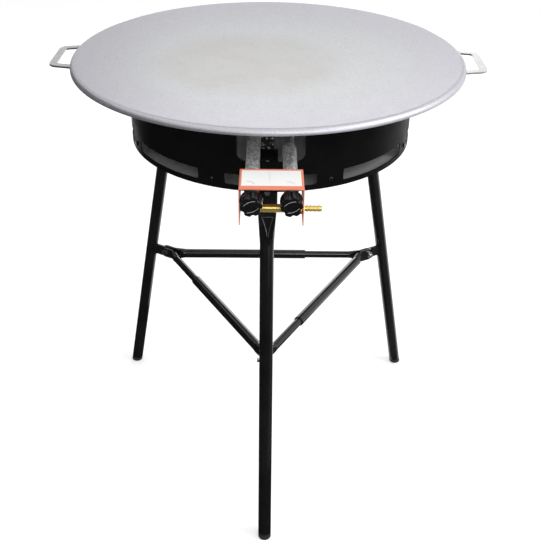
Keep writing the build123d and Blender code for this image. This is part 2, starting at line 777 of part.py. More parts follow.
def make_manifold_plug():
    """Hex plug in the manifold's left end."""
    head = -manifold_left - seat_gap
    plug = hex_along(manifold_plane, manifold_plug_hex, head - manifold_plug_head, head)
    return plug + rod_along(manifold_plane, manifold_bore - seat_gap, head - seat_gap, head + thread_depth)


def make_hose_tail():
    """Barbed tail on the manifold's right end."""
    start = manifold_right + seat_gap
    neck = start + tail_hex_length
    ribs = neck + tail_neck
    tail = hex_along(manifold_plane, tail_hex, start, neck)
    tail += rod_along(manifold_plane, manifold_bore - seat_gap, start - thread_depth, neck)
    tail += rod_along(manifold_plane, tail_core, start, ribs)
    for count in range(tail_ribs):
        rib = Cone(tail_rib, tail_core, tail_pitch, align=UPRIGHT)
        tail += manifold_plane * Pos(0, 0, ribs + count * tail_pitch) * rib
    return tail - rod_along(manifold_plane, tail_bore, 0, ribs + 2 * tail_ribs * tail_pitch)


# Guard
def make_guard():
    """Folded sheet: a top, two sides and a short back that the taps clamp to the feed tubes."""
    back_y = -(tap_plane + seat_gap)
    corner_align = (Align.CENTER, Align.MAX, Align.MAX)
    inside_width = guard_width - 2 * guard_sheet
    fold = RectangleRounded(guard_width, 2 * guard_side, guard_bend)
    fold -= RectangleRounded(inside_width, 2 * (guard_side - guard_sheet), guard_bend - guard_sheet)
    fold -= Rectangle(2 * guard_width, 2 * guard_side, align=(Align.CENTER, Align.MAX))
    low = Plane(origin=(tap_shift, back_y, guard_top_z - guard_side), x_dir=(1, 0, 0), z_dir=(0, -1, 0))
    guard = extrude(low * fold, guard_depth)
    guard = fillet(guard.edges().filter_by(Axis.X).group_by(Axis.Z)[0], guard_corner)
    back = Box(inside_width - 2 * guard_sheet, guard_sheet, guard_back, align=corner_align)
    guard += Pos(tap_shift, back_y, guard_top_z) * back
    for side in (-1, 1):
        guard -= rod_along(tap_plane_at(side), spigot_radius + seat_gap, 0, 2 * guard_sheet)
    tail_hole = tail_hex / math.sqrt(3) + 2 * body_gap
    return guard - rod_along(manifold_plane, tail_hole, manifold_right, guard_width)


def make_label():
    """Plain panel on the guard's top."""
    front_y = -(tap_plane + seat_gap + guard_depth - label_front)
    size = (label_width, label_depth, label_sheet)
    return Pos(tap_shift, front_y, guard_top_z) * Box(*size, align=(Align.CENTER, Align.MIN, Align.MIN))


def group(shapes):
    """Separate solids in one node."""
    return Compound(children=[solid for shape in shapes for solid in shape.solids()])


def make_parts():
    """Every node by name."""
    parts = {"griddle_pan": make_pan()}
    handle = make_handle()
    parts["pan_handle_right"] = turned(handle, pan_turn)
    parts["pan_handle_left"] = turned(handle, 180 + pan_turn)

    parts["windshield"] = make_windshield()
    parts["windshield_floor"] = make_shield_floor()
    screws = [shield_place * shield_face(degrees, shield_screw_rise) for degrees in screw_angles()]
    parts["windshield_screws"] = group([place * make_shield_screw() for place in screws])
    parts["windshield_nuts"] = group([place * make_shield_nut() for place in screws])

    parts["burner_outer_ring"] = make_ring(outer_ring_radius, outer_ports, left_feed_core(feed_hole))
    parts["burner_inner_ring"] = make_ring(inner_ring_radius, inner_ports, right_feed_core(feed_hole))
    parts["feed_tube_left"] = make_feed_tube(left_feed_core, -1, outer_ring_radius)
    parts["feed_tube_right"] = make_feed_tube(right_feed_core, 1, inner_ring_radius)

    leg_head = leg_bolt_plane.offset(-leg_flat / 2)
    leg_grip = leg_flat + bracket_sheet + 2 * seat_gap
    support_grip = bracket_sheet + support_sheet + 2 * seat_gap
    seats = [(leg_head, leg_grip), (support_bolt_plane, support_grip)]
    bolts = [make_bolt(plane, leg_bolt_radius, leg_bolt_length) for plane, grip in seats]
    nuts = [make_nut(plane, leg_bolt_radius, grip) for plane, grip in seats]
    brace_plane, brace_grip = brace_bolt_frame()
    brace_bolt = make_bolt(brace_plane, brace_bolt_radius, brace_bolt_length)
    brace_nut = make_nut(brace_plane, brace_bolt_radius, brace_grip)
    rod = make_brace_half(rod_radius, rod_wall, rod_flat_width, rod_length)
    sleeve = make_brace_half(sleeve_radius, sleeve_wall, sleeve_flat_width, sleeve_length)
    sleeve = mirror(sleeve, Plane.YZ)
    rod_names = {"front": "right", "right": "back", "left": "left"}
    sleeve_names = {"front": "left", "right": "right", "left": "back"}
    stand = {
        "burner_arm": make_arm(),
        "pan_support": make_support(),
        "leg_bracket": make_bracket(),
        "leg": make_leg(),
        "foot": make_foot(),
        "brace_tab": make_brace_tab(),
    }
    for leg, degrees in LEG_TURNS.items():
        for name, shape in stand.items():
            parts[f"{name}_{leg}"] = turned(shape, degrees)
        parts[f"brace_rod_{rod_names[leg]}"] = turned(rod, degrees)
        parts[f"brace_sleeve_{sleeve_names[leg]}"] = turned(sleeve, degrees)
    turns = LEG_TURNS.values()
    parts["leg_bolts"] = group([turned(bolt, degrees) for bolt in bolts for degrees in turns])
    parts["leg_nuts"] = group([turned(nut, degrees) for nut in nuts for degrees in turns])
    parts["brace_bolts"] = group([turned(brace_bolt, degrees) for degrees in turns])
    parts["brace_nuts"] = group([turned(brace_nut, degrees) for degrees in turns])

    taps = {
        "tap_body": make_tap_body,
        "injector": make_injector,
        "tap_plug": make_plug,
        "tap_spring": make_spring,
        "tap_stem": make_stem,
        "tap_bonnet": make_bonnet,
        "knob": make_knob,
    }
    for name, maker in taps.items():
        parts[f"{name}_left"] = maker(-1)
        parts[f"{name}_right"] = maker(1)
    parts["gas_manifold"] = make_manifold()
    parts["manifold_plug"] = make_manifold_plug()
    parts["hose_tail"] = make_hose_tail()
    parts["tap_guard"] = make_guard()
    parts["guard_label"] = make_label()
    return parts


os.makedirs("parts", exist_ok=True)
for name, shape in make_parts().items():
    export_step(Pos(0, frame_shift, 0) * shape, f"parts/{name}.step")
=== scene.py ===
# %% [markdown]
# This is a griddle pan on its gas burner, as market stalls use it: a wide steel pan over a ring burner on
# three tube legs. Its solids come finished from CAD, in metres, as a fixed frame. Blender adds what CAD
# leaves out: finishes, welds, threads, small marks, light and a camera. Nothing of the frame is moved.

# %% Load the frame
import json
import math

import bmesh
import bpy
from mathutils import Matrix, Vector


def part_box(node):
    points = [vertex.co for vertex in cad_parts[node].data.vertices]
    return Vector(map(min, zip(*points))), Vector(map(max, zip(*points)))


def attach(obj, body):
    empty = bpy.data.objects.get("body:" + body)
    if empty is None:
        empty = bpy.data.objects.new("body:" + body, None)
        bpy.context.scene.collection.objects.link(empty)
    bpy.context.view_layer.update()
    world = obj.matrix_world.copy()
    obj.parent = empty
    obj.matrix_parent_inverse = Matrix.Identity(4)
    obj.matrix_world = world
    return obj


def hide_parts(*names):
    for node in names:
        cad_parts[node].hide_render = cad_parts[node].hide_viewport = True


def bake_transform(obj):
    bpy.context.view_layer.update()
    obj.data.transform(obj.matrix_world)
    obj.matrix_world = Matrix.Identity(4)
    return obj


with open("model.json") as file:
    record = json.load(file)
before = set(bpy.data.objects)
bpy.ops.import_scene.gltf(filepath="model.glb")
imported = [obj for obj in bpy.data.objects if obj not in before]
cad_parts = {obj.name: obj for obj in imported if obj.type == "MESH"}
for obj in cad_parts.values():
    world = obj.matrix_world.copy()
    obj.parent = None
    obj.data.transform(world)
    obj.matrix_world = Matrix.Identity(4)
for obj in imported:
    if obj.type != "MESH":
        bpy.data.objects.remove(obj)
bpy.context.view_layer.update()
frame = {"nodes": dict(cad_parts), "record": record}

# %% [markdown]
# A detail has to sit on the part that carries it, so its place is measured from that part's box wherever
# a box can tell it. Two places are needed all the time: the middle of a part's box, and the pan's upright
# axis, which the burner rings and the legs share.

# %% Measure the places
MM = 0.001


def middle(node):
    """Middle of a CAD node's box."""
    low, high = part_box(node)
    return (low + high) / 2


AXIS = Vector((middle("griddle_pan").x, middle("griddle_pan").y, 0))
print(f"the pan's axis stands at x = {AXIS.x / MM:.1f} mm, y = {AXIS.y / MM:.1f} mm")

# %% [markdown]
# The photograph looks down on the burner from the front with a short telephoto view. A camera's place
# and lens follow from a few points whose real size is known: here the rim, the windshield and the
# feet. The camera's matrix is built from its view direction, so that the small roll of the photograph
# is kept as well.

# %% Set the camera
UP = Vector((0, 0, 1))
CAMERA_DISTANCE = 1.6838        # metres along Y, from the pan's axis
CAMERA_HEIGHT = 1.4792
LENS_MM = 57.35
SENSOR_MM = 36.0
PITCH_DOWN = math.radians(32.143)
YAW_RIGHT = math.radians(0.261)
ROLL = math.radians(0.616)

forward = Vector((
    math.sin(YAW_RIGHT) * math.cos(PITCH_DOWN),
    math.cos(YAW_RIGHT) * math.cos(PITCH_DOWN),
    -math.sin(PITCH_DOWN),
))
level_right = forward.cross(UP).normalized()
level_up = level_right.cross(forward)
camera_right = level_right * math.cos(ROLL) + level_up * math.sin(ROLL)
camera_up = level_up * math.cos(ROLL) - level_right * math.sin(ROLL)
turn = Matrix((camera_right, camera_up, -forward)).transposed()

scene = bpy.context.scene
camera_data = bpy.data.cameras.new("photo_camera")
camera_data.lens = LENS_MM
camera_data.sensor_width = SENSOR_MM
camera = bpy.data.objects.new("photo_camera", camera_data)
camera.matrix_world = Matrix.Translation((0, AXIS.y - CAMERA_DISTANCE, CAMERA_HEIGHT)) @ turn.to_4x4()
scene.collection.objects.link(camera)
scene.camera = camera
scene.view_settings.view_transform = "Standard"
print("camera at", [round(value, 3) for value in camera.matrix_world.translation])

# %% [markdown]
# A material and a Geometry Nodes tree are built from the same moves: add a node, set its values, link
# its inputs. One helper does all three. An input given as a socket is linked, anything else is a
# value. The other helpers are the few nodes that nearly every tree needs.

# %% Node helpers
def add(tree, kind, inputs=None, **settings):
    """Add a node to a tree, with its settings and its inputs."""
    node = tree.nodes.new(kind)
    for name, value in settings.items():
        setattr(node, name, value)
    for name, value in (inputs or {}).items():
        if isinstance(value, bpy.types.NodeSocket):
            tree.links.new(value, node.inputs[name])
        else:
            node.inputs[name].default_value = value
    return node


def calculate(tree, operation, first, second=0.0):
    """A Math node's result."""
    return add(tree, "ShaderNodeMath", {0: first, 1: second}, operation=operation).outputs[0]


def vector_math(tree, operation, *values):
    """The outputs of a Vector Math node: Vector and Value."""
    return add(tree, "ShaderNodeVectorMath", dict(enumerate(values)), operation=operation).outputs


def ramp(tree, value, start, end, low=0.0, high=1.0):
    """A value mapped smoothly from start..end to low..high."""
    inputs = {"Value": value, "From Min": start, "From Max": end, "To Min": low, "To Max": high}
    return add(tree, "ShaderNodeMapRange", inputs, interpolation_type="SMOOTHSTEP").outputs[0]


def blend_colors(tree, share, first, second):
    """Two colours mixed by a share."""
    # A Mix node has sockets for every kind of data: inputs 6 and 7 and output 2 are the colours.
    node = add(tree, "ShaderNodeMix", {0: share}, data_type="RGBA")
    for socket, value in ((node.inputs[6], first), (node.inputs[7], second)):
        if isinstance(value, bpy.types.NodeSocket):
            tree.links.new(value, socket)
        else:
            socket.default_value = (*value, 1.0)
    return node.outputs[2]


# %% [markdown]
# Paint has a fine orange peel, rolled steel has a grain, drawn brass has fine lines. Each effect is one
# node group with named inputs, so that a material only says how coarse it wants it. A group hands out
# masks and heights; the shader that uses them stays in the material.

# %% Shader group helpers
GROUPS = {}


def shader_group(name, inputs, outputs):
    """An empty shader group; returns its tree, the sockets it is given and those it hands out."""
    tree = bpy.data.node_groups.new(name, "ShaderNodeTree")
    for label, kind in inputs.items():
        tree.interface.new_socket(label, in_out="INPUT", socket_type=f"NodeSocket{kind}")
    for label in outputs:
        tree.interface.new_socket(label, in_out="OUTPUT", socket_type="NodeSocketFloat")
    GROUPS[name] = tree
    return tree, tree.nodes.new("NodeGroupInput").outputs, tree.nodes.new("NodeGroupOutput").inputs


def noise(tree, place, scale, detail=3.0, roughness=0.55):
    """A noise value between 0 and 1."""
    inputs = {"Vector": place, "Scale": scale, "Detail": detail, "Roughness": roughness}
    return add(tree, "ShaderNodeTexNoise", inputs).outputs["Fac"]


# %% [markdown]
# A surface is never even: it has a fine grain that can be felt, and slow blotches that change its tone
# and gloss. Two noises of different size give both. Brushed or drawn metal has lines as well. They are
# the same noise, with the place squeezed along the lines, so that every spot is drawn into a streak.

# %% Grain and lines
NOISE_SPAN = (0.3, 0.7)         # most noise values lie between these


def make_grain():
    """Fine grain for height, and slow blotches for tone."""
    tree, given, result = shader_group(
        "surface grain", {"Place": "Vector", "Grain Scale": "Float", "Blotch Scale": "Float"},
        ["Grain", "Blotch"],
    )
    grain = noise(tree, given["Place"], given["Grain Scale"])
    blotch = noise(tree, given["Place"], given["Blotch Scale"], detail=4.0, roughness=0.6)
    tree.links.new(grain, result["Grain"])
    tree.links.new(ramp(tree, blotch, *NOISE_SPAN), result["Blotch"])


def make_brushing():
    """Fine lines along one direction: the place is squeezed along the lines."""
    tree, given, result = shader_group(
        "brushed lines", {"Place": "Vector", "Squeeze": "Vector", "Scale": "Float"}, ["Lines"],
    )
    squeezed = vector_math(tree, "MULTIPLY", given["Place"], given["Squeeze"])["Vector"]
    lines = noise(tree, squeezed, given["Scale"], detail=2.0)
    tree.links.new(ramp(tree, lines, *NOISE_SPAN), result["Lines"])


make_grain()
make_brushing()
print("shader groups:", sorted(GROUPS))

# %% [markdown]
# Hammer paint draws together into small pools while it dries, with veins between them. A Voronoi texture
# parts a surface into cells in the same way. Its cells have straight sides, so a noise first shifts the
# place a little, and the pools get uneven outlines. Every cell draws a chance of being a bright fleck,
# so that bright and dull pools mix without a pattern.

# %% Hammer pools
WOBBLE_SCALE = 420.0            # per metre, for the uneven outline of the pools
WOBBLE_REACH = 2.2 * MM
VEIN_EDGE = (0.02, 0.16)        # where a vein ends and a pool begins, as shares of a cell
DOME_TOP = 0.45                 # where a pool has its full height, as a share of a cell
CHANCE_SOFTNESS = 0.1


def make_hammer():
    """Hammer finish: domed pools parted by veins, some of them bright flecks and the others dull."""
    tree, given, result = shader_group(
        "hammer finish", {"Place": "Vector", "Scale": "Float", "Dull Share": "Float"}, ["Domes", "Flecks"],
    )
    inputs = {"Vector": given["Place"], "Scale": WOBBLE_SCALE, "Detail": 1.0}
    wobble = add(tree, "ShaderNodeTexNoise", inputs).outputs["Color"]
    place = vector_math(tree, "MULTIPLY_ADD", wobble, [WOBBLE_REACH] * 3, given["Place"])["Vector"]
    inputs = {"Vector": place, "Scale": given["Scale"]}
    edge = add(tree, "ShaderNodeTexVoronoi", inputs, feature="DISTANCE_TO_EDGE").outputs["Distance"]
    cell = add(tree, "ShaderNodeTexVoronoi", inputs, feature="F1").outputs["Color"]
    chance = add(tree, "ShaderNodeSeparateColor", {"Color": cell}).outputs["Red"]
    dull = given["Dull Share"]
    bright = ramp(tree, chance, dull, calculate(tree, "ADD", dull, CHANCE_SOFTNESS))
    flecks = calculate(tree, "MULTIPLY", ramp(tree, edge, *VEIN_EDGE), bright)
    tree.links.new(ramp(tree, edge, 0.0, DOME_TOP), result["Domes"])
    tree.links.new(flecks, result["Flecks"])


make_hammer()
print(f"hammer pools: their place is shifted by up to {WOBBLE_REACH / MM:.1f} mm along each axis")

# %% [markdown]
# Two masks depend on where a point lies, and on no texture. The distance from an upright axis tells the
# middle of a round sheet from its rim. Whether a face looks towards a centre tells the inside of a
# folded sheet from its outside. Vector Math nodes are enough for both.

# %% Distance and facing
FLATTEN = (1.0, 1.0, 0.0)
FACING_SOFTNESS = 2 * MM


def make_axis_distance():
    """Distance from an upright axis."""
    tree, given, result = shader_group("axis distance", {"Place": "Vector", "Axis": "Vector"}, ["Distance"])
    offset = vector_math(tree, "SUBTRACT", given["Place"], given["Axis"])["Vector"]
    flat = vector_math(tree, "MULTIPLY", offset, FLATTEN)["Vector"]
    tree.links.new(vector_math(tree, "LENGTH", flat)["Value"], result["Distance"])


def make_inward():
    """1 on faces that look towards a centre, 0 on faces that look away from it."""
    tree, given, result = shader_group("inward faces", {"Place": "Vector", "Centre": "Vector"}, ["Inward"])
    normal = add(tree, "ShaderNodeTexCoord").outputs["Normal"]
    offset = vector_math(tree, "SUBTRACT", given["Place"], given["Centre"])["Vector"]
    facing = vector_math(tree, "DOT_PRODUCT", offset, normal)["Value"]
    tree.links.new(ramp(tree, facing, FACING_SOFTNESS, -FACING_SOFTNESS), result["Inward"])


make_axis_distance()
make_inward()
print("shader groups:", sorted(GROUPS))

# %% [markdown]
# Every finish starts the same way: a Principled shader with its plain values, and the place on the
# object in metres, so that a grain of 500 per metre is 2 mm coarse on every part. Height goes through
# one Bump node. Object coordinates are used because the frame's nodes have no UV map, and because a
# grain then runs on from one part to the next.

# %% Finish helper
FINISHES = {}


class Finish:
    """A material under construction: its tree, its shader and the place on the object."""

    def __init__(self, name, color, roughness, metallic=0.0, specular=0.5):
        self.material = bpy.data.materials.new(name)
        self.material.use_nodes = True
        self.tree = self.material.node_tree
        self.shader = self.tree.nodes["Principled BSDF"]
        self.shader.inputs["Base Color"].default_value = (*color, 1.0)
        self.shader.inputs["Roughness"].default_value = roughness
        self.shader.inputs["Metallic"].default_value = metallic
        self.shader.inputs["Specular IOR Level"].default_value = specular
        self.place = add(self.tree, "ShaderNodeTexCoord").outputs["Object"]
        FINISHES[name] = self.material

    def group(self, name, **inputs):
        """One of the shared groups, fed with this finish's place."""
        values = {"Place": self.place}
        values.update({key.replace("_", " "): value for key, value in inputs.items()})
        return add(self.tree, "ShaderNodeGroup", values, node_tree=GROUPS[name]).outputs

    def feed(self, socket, value):
        """Link a value or colour into the shader."""
        self.tree.links.new(value, self.shader.inputs[socket])

    def vary(self, socket, mask, low, high):
        """Let a mask between 0 and 1 set one of the shader's values between low and high."""
        self.feed(socket, ramp(self.tree, mask, 0.0, 1.0, low, high))

    def bump(self, height, depth, strength):
        """Raise the surface by a height mask, depth metres at most."""
        inputs = {"Height": height, "Distance": depth, "Strength": strength}
        self.feed("Normal", add(self.tree, "ShaderNodeBump", inputs).outputs["Normal"])


# %% [markdown]
# The pan is pressed from steel sheet and keeps the sheet's fine grey grain. Oil and heat give the
# middle a faint warm cast, a little off the axis, and the rim stays cooler and a little lilac. A painted
# texture could show this, but two distances are enough: one from the axis and one from the middle of the
# patch. Slow blotches break the patch up, so that no ring shows.

# %% Pan steel
PAN_GREY = (0.615, 0.625, 0.638)
PAN_WARM = (0.568, 0.558, 0.543)
PAN_COOL = (0.590, 0.587, 0.635)
PAN_DARK = (0.430, 0.430, 0.445)
PATCH_SHIFT = Vector((-0.035, -0.02, 0))    # from the axis to the middle of the warm patch
PATCH_EDGE = (0.22, 0.13)                   # the patch fades in between these distances
PATCH_CLOUD = (0.3, 0.7)                    # blotches between these thin the patch out
PATCH_LEAST = 0.68                          # and leave at least this share of it
RIM_EDGE = (0.20, 0.37)                     # the rim's cool tone fades in between these distances
SPECK_EDGE = (0.40, 0.65)                   # grain between these turns into dark specks

pan = Finish("pan_steel", PAN_GREY, roughness=0.5, metallic=0.85)
coarse = pan.group("surface grain", Grain_Scale=420.0, Blotch_Scale=9.0)
fine = pan.group("surface grain", Grain_Scale=1100.0, Blotch_Scale=45.0)
from_axis = pan.group("axis distance", Axis=AXIS)["Distance"]
from_patch = pan.group("axis distance", Axis=AXIS + PATCH_SHIFT)["Distance"]
cloud = ramp(pan.tree, coarse["Blotch"], *PATCH_CLOUD, low=PATCH_LEAST)
warm = calculate(pan.tree, "MULTIPLY", ramp(pan.tree, from_patch, *PATCH_EDGE), cloud)
tone = blend_colors(pan.tree, ramp(pan.tree, from_axis, *RIM_EDGE), PAN_GREY, PAN_COOL)
tone = blend_colors(pan.tree, warm, tone, PAN_WARM)
specks = calculate(pan.tree, "MULTIPLY", ramp(pan.tree, coarse["Grain"], *SPECK_EDGE), fine["Grain"])
pan.feed("Base Color", blend_colors(pan.tree, specks, tone, PAN_DARK))
pan.vary("Roughness", fine["Blotch"], low=0.47, high=0.51)
pan.bump(fine["Grain"], depth=0.15 * MM, strength=0.4)
print("pan_steel:", len(pan.tree.nodes), "nodes")

# %% [markdown]
# The handles are stainless flat bar, brushed along the grip. Bolts and nuts are zinc plated, with a faint
# cloudy tone. The stems and springs are plain steel. The taps, manifold and hose tail are brass, with
# fine lines along the manifold. The metals differ only in colour, roughness and their lines, so one
# function makes them all.

# %% Metals
def make_metal(name, color, dark, roughness, squeeze, scale, depth, metallic=1.0):
    """A bare metal with fine lines and a slow change of tone."""
    metal = Finish(name, color, roughness, metallic)
    lines = metal.group("brushed lines", Squeeze=squeeze, Scale=scale)["Lines"]
    cloud = metal.group("surface grain", Grain_Scale=1200.0, Blotch_Scale=70.0)["Blotch"]
    share = calculate(metal.tree, "MULTIPLY", lines, cloud)
    metal.feed("Base Color", blend_colors(metal.tree, share, color, dark))
    metal.vary("Roughness", lines, low=roughness - 0.05, high=roughness + 0.08)
    metal.bump(lines, depth, strength=0.5)


make_metal("handle_steel", (0.68, 0.68, 0.67), (0.58, 0.58, 0.58),
           roughness=0.40, squeeze=(1, 0.06, 1), scale=2200.0, depth=0.03 * MM)
make_metal("zinc", (0.74, 0.74, 0.72), (0.58, 0.58, 0.56),
           roughness=0.30, squeeze=(1, 1, 1), scale=1500.0, depth=0.03 * MM)
make_metal("steel", (0.56, 0.56, 0.57), (0.44, 0.44, 0.45),
           roughness=0.28, squeeze=(1, 0.1, 1), scale=2500.0, depth=0.02 * MM)
make_metal("brass", (0.84, 0.64, 0.20), (0.70, 0.50, 0.13),
           roughness=0.22, squeeze=(0.15, 1, 1), scale=2500.0, depth=0.02 * MM, metallic=0.7)
print("finishes so far:", sorted(FINISHES))

# %% [markdown]
# The windshield is powder coated in a dull black, and the stand in a glossy one. Powder melts into a
# slightly wavy skin, the orange peel. The dull black has a very low specular level, because it would turn
# grey if it mirrored the white room. The stand keeps its gloss, which draws bright lines along the tubes.
# Knobs, feet, label and the marks on them are smooth skins too, so the same function makes them.

# %% Powder coats
def make_coat(name, color, worn, roughness, specular, depth):
    """A coat with orange peel and faintly duller patches; returns it with its tone."""
    coat = Finish(name, color, roughness, specular=specular)
    skin = coat.group("surface grain", Grain_Scale=700.0, Blotch_Scale=16.0)
    tone = blend_colors(coat.tree, skin["Blotch"], color, worn)
    coat.feed("Base Color", tone)
    coat.vary("Roughness", skin["Blotch"], low=roughness - 0.05, high=roughness + 0.07)
    coat.bump(skin["Grain"], depth, strength=0.35)
    return coat, tone


make_coat("shield_black", (0.0040, 0.0040, 0.0043), (0.0055, 0.0055, 0.0058),
          roughness=0.40, specular=0.03, depth=0.10 * MM)
make_coat("stand_black", (0.0055, 0.0055, 0.006), (0.009, 0.009, 0.0095),
          roughness=0.14, specular=0.56, depth=0.04 * MM)
make_coat("label_white", (0.93, 0.93, 0.92), (0.91, 0.91, 0.90),
          roughness=0.45, specular=0.40, depth=0.02 * MM)
make_coat("knob_black", (0.006, 0.006, 0.0065), (0.008, 0.008, 0.0085),
          roughness=0.12, specular=0.45, depth=0.02 * MM)
make_coat("foot_rubber", (0.010, 0.010, 0.010), (0.016, 0.016, 0.015),
          roughness=0.62, specular=0.30, depth=0.10 * MM)
make_coat("mark_white", (0.80, 0.80, 0.79), (0.72, 0.72, 0.71),
          roughness=0.50, specular=0.40, depth=0.01 * MM)
make_coat("mark_grey", (0.30, 0.30, 0.31), (0.36, 0.36, 0.37),
          roughness=0.60, specular=0.30, depth=0.01 * MM)
print("finishes so far:", sorted(FINISHES))

# %% [markdown]
# The guard is folded first and sprayed afterwards. Its inside lies in shade under the guard, so the
# inside gets a browner, darker colour than the outside: painted shade. A face belongs to
# the inside when it looks towards the middle of the guard, so no face has to be picked by hand.

# %% Guard coat
ORANGE = (0.85, 0.28, 0.17)
ORANGE_WORN = (0.80, 0.25, 0.15)
ORANGE_INSIDE_SHADE = (0.22, 0.05, 0.02)

guard, outside = make_coat("guard_orange", ORANGE, ORANGE_WORN,
                           roughness=0.38, specular=0.40, depth=0.08 * MM)
# Faces that look towards the guard's middle take the darker colour, which is painted shade.
shaded_inside = guard.group("inward faces", Centre=middle("tap_guard"))["Inward"]
guard.feed("Base Color", blend_colors(guard.tree, shaded_inside, outside, ORANGE_INSIDE_SHADE))
print("guard_orange:", len(guard.tree.nodes), "nodes")

# %% [markdown]
# The floor plate of the windshield is bare sheet. From the front it shows only through the slots and the
# cut-out, as grey patches, and its middle throws light up at the burner. It is a darker grey towards the
# wall, so two greys are mixed by the distance from the axis.

# %% Floor plate
SHEET_GREY = (0.85, 0.85, 0.85)
SHEET_DARK_AT_WALL = (0.32, 0.32, 0.32)
WALL_DARK_EDGE = (0.18, 0.24)        # the dull grey fades in between these distances

sheet = Finish("plate_grey", SHEET_GREY, roughness=0.5)
skin = sheet.group("surface grain", Grain_Scale=900.0, Blotch_Scale=25.0)
toward_wall = ramp(sheet.tree, sheet.group("axis distance", Axis=AXIS)["Distance"], *WALL_DARK_EDGE)
sheet.feed("Base Color", blend_colors(sheet.tree, toward_wall, SHEET_GREY, SHEET_DARK_AT_WALL))
sheet.vary("Roughness", skin["Blotch"], low=0.45, high=0.58)
sheet.bump(skin["Grain"], depth=0.05 * MM, strength=0.35)
print("plate_grey:", len(sheet.tree.nodes), "nodes")

# %% [markdown]
# The burner tubes and the pan supports wear a silver hammer paint: aluminium gathers in bright flecks,
# and the darker binder shows in the veins between them. The supports stand in the shade under the rim
# of the pan, so their copy is nearly black with only a few flecks: painted shade. Both are the same kind
# of pools, with other colours, another size and another share of dull ones.

# %% Hammer paint
def make_hammer_paint(name, fleck, vein, dull_share, scale):
    """Hammer paint: domed flecks, a little metallic, in a dark binder."""
    paint = Finish(name, fleck, roughness=0.36)
    pattern = paint.group("hammer finish", Scale=scale, Dull_Share=dull_share)
    paint.feed("Base Color", blend_colors(paint.tree, pattern["Flecks"], vein, fleck))
    paint.vary("Metallic", pattern["Flecks"], low=0.0, high=0.3)
    paint.vary("Roughness", pattern["Flecks"], low=0.40, high=0.26)
    paint.bump(pattern["Domes"], depth=0.4 * MM, strength=0.7)


make_hammer_paint("hammertone", (0.98, 0.98, 0.98), (0.22, 0.22, 0.223), dull_share=0.40, scale=270.0)
# The pan supports' copy is nearly black: painted shade from the pan's rim.
make_hammer_paint("hammertone_shaded", (0.70, 0.70, 0.69), (0.010, 0.010, 0.010),
                  dull_share=0.66, scale=400.0)
print("finishes:", sorted(FINISHES))

# %% [markdown]
# The imported record says which finish each node takes, so the loop only looks it up. The pan supports
# are the one exception: they take the darker copy of their paint, which holds painted shade.

# %% Give each node its finish
for row in frame["record"]["subparts"]:
    materials = frame["nodes"][row["node"]].data.materials
    materials.clear()
    shaded_support = row["node"].startswith("pan_support")
    materials.append(FINISHES["hammertone_shaded" if shaded_support else row["material_slot"]])

# %% [markdown]
# A product picture of this kind has a white ground. The world is plain white to the camera and in
# reflections, but lights the object a little less, so that a colour comes out about as it is written.
# The floor glows for the same rays only. The Light Path node tells them apart. The floor keeps its own
# diffuse part as well, so that it still takes the object's shadow.

# %% Floor and world
FLOOR_HALF = 9.0
FLOOR_TONE = (0.80, 0.80, 0.80)
FLOOR_GLOW = 0.3                # where the floor is seen directly
WORLD_LIGHT = 0.82              # where the world is not seen directly
WHITE = (1.0, 1.0, 1.0, 1.0)


def seen_directly(tree):
    """1 for rays from the camera and for reflected or refracted ones."""
    path = add(tree, "ShaderNodeLightPath").outputs
    mirrored = calculate(tree, "MAXIMUM", path["Is Glossy Ray"], path["Is Transmission Ray"])
    return calculate(tree, "MAXIMUM", path["Is Camera Ray"], mirrored)


def panel(name, corners, finish):
    """One flat stage panel."""
    mesh = bpy.data.meshes.new(name)
    mesh.from_pydata(corners, [], [tuple(range(len(corners)))])
    mesh.materials.append(finish.material)
    flat = bpy.data.objects.new(name, mesh)
    scene.collection.objects.link(flat)
    return flat


world = bpy.data.worlds.new("white_room")
world.use_nodes = True
scene.world = world
background = world.node_tree.nodes["Background"]
background.inputs["Color"].default_value = WHITE
strength = ramp(world.node_tree, seen_directly(world.node_tree), 0.0, 1.0, low=WORLD_LIGHT)
world.node_tree.links.new(strength, background.inputs["Strength"])

floor_white = Finish("floor_white", FLOOR_TONE, roughness=0.9, specular=0.0)
floor_white.shader.inputs["Emission Color"].default_value = WHITE
glow = calculate(floor_white.tree, "MULTIPLY", seen_directly(floor_white.tree), FLOOR_GLOW)
floor_white.feed("Emission Strength", glow)
floor_signs = ((-1, -1), (1, -1), (1, 1), (-1, 1))
floor = panel("floor", [(FLOOR_HALF * x, FLOOR_HALF * y, 0) for x, y in floor_signs], floor_white)
print("floor corners:", [list(corner.co) for corner in floor.data.vertices])

# %% [markdown]
# The light is soft: a large key lamp stands high on the right. A smaller lamp in front lights the taps
# and the guard, and a lower one on the right draws bright lines along the glossy tubes. A broad lamp far
# behind lies low, level with the pan, and the pan's dish mirrors it.

# %% Lamps
AIM = Vector((0, 0, 0.7))


def softbox(name, place, size, power):
    """A square area lamp at a place, aimed at the burner."""
    data = bpy.data.lights.new(name, "AREA")
    data.size = size
    data.energy = power
    lamp = bpy.data.objects.new(name, data)
    lamp.visible_camera = False
    aimed = (AIM - Vector(place)).to_track_quat("-Z", "Y")
    lamp.matrix_world = Matrix.Translation(place) @ aimed.to_matrix().to_4x4()
    scene.collection.objects.link(lamp)


softbox("key", (2.9, -0.8, 2.9), size=1.6, power=52.0)
softbox("front", (0.45, -3.0, 2.4), size=1.0, power=15.0)
softbox("low", (1.5, -2.4, 1.55), size=0.5, power=7.0)
softbox("back", (0.4, 3.4, 0.9), size=2.2, power=34.0)

# %% [markdown]
# Glossy black paint shows little but what it mirrors. In a white room a black tube turns grey, so a
# photographer sets up black cards round it. Here they lie on the floor in front and on the left, and
# stand at the left, in front and high at the back. One card is grey, for the right side. Only mirrored
# rays see them: the cards take no part in the picture itself, the plain light or the shadows.

# %% Cards
CARD_LIFT = 0.01                # above the floor


def lying(*points):
    """Corners of a card on the floor."""
    return [(x, y, CARD_LIFT) for x, y in points]


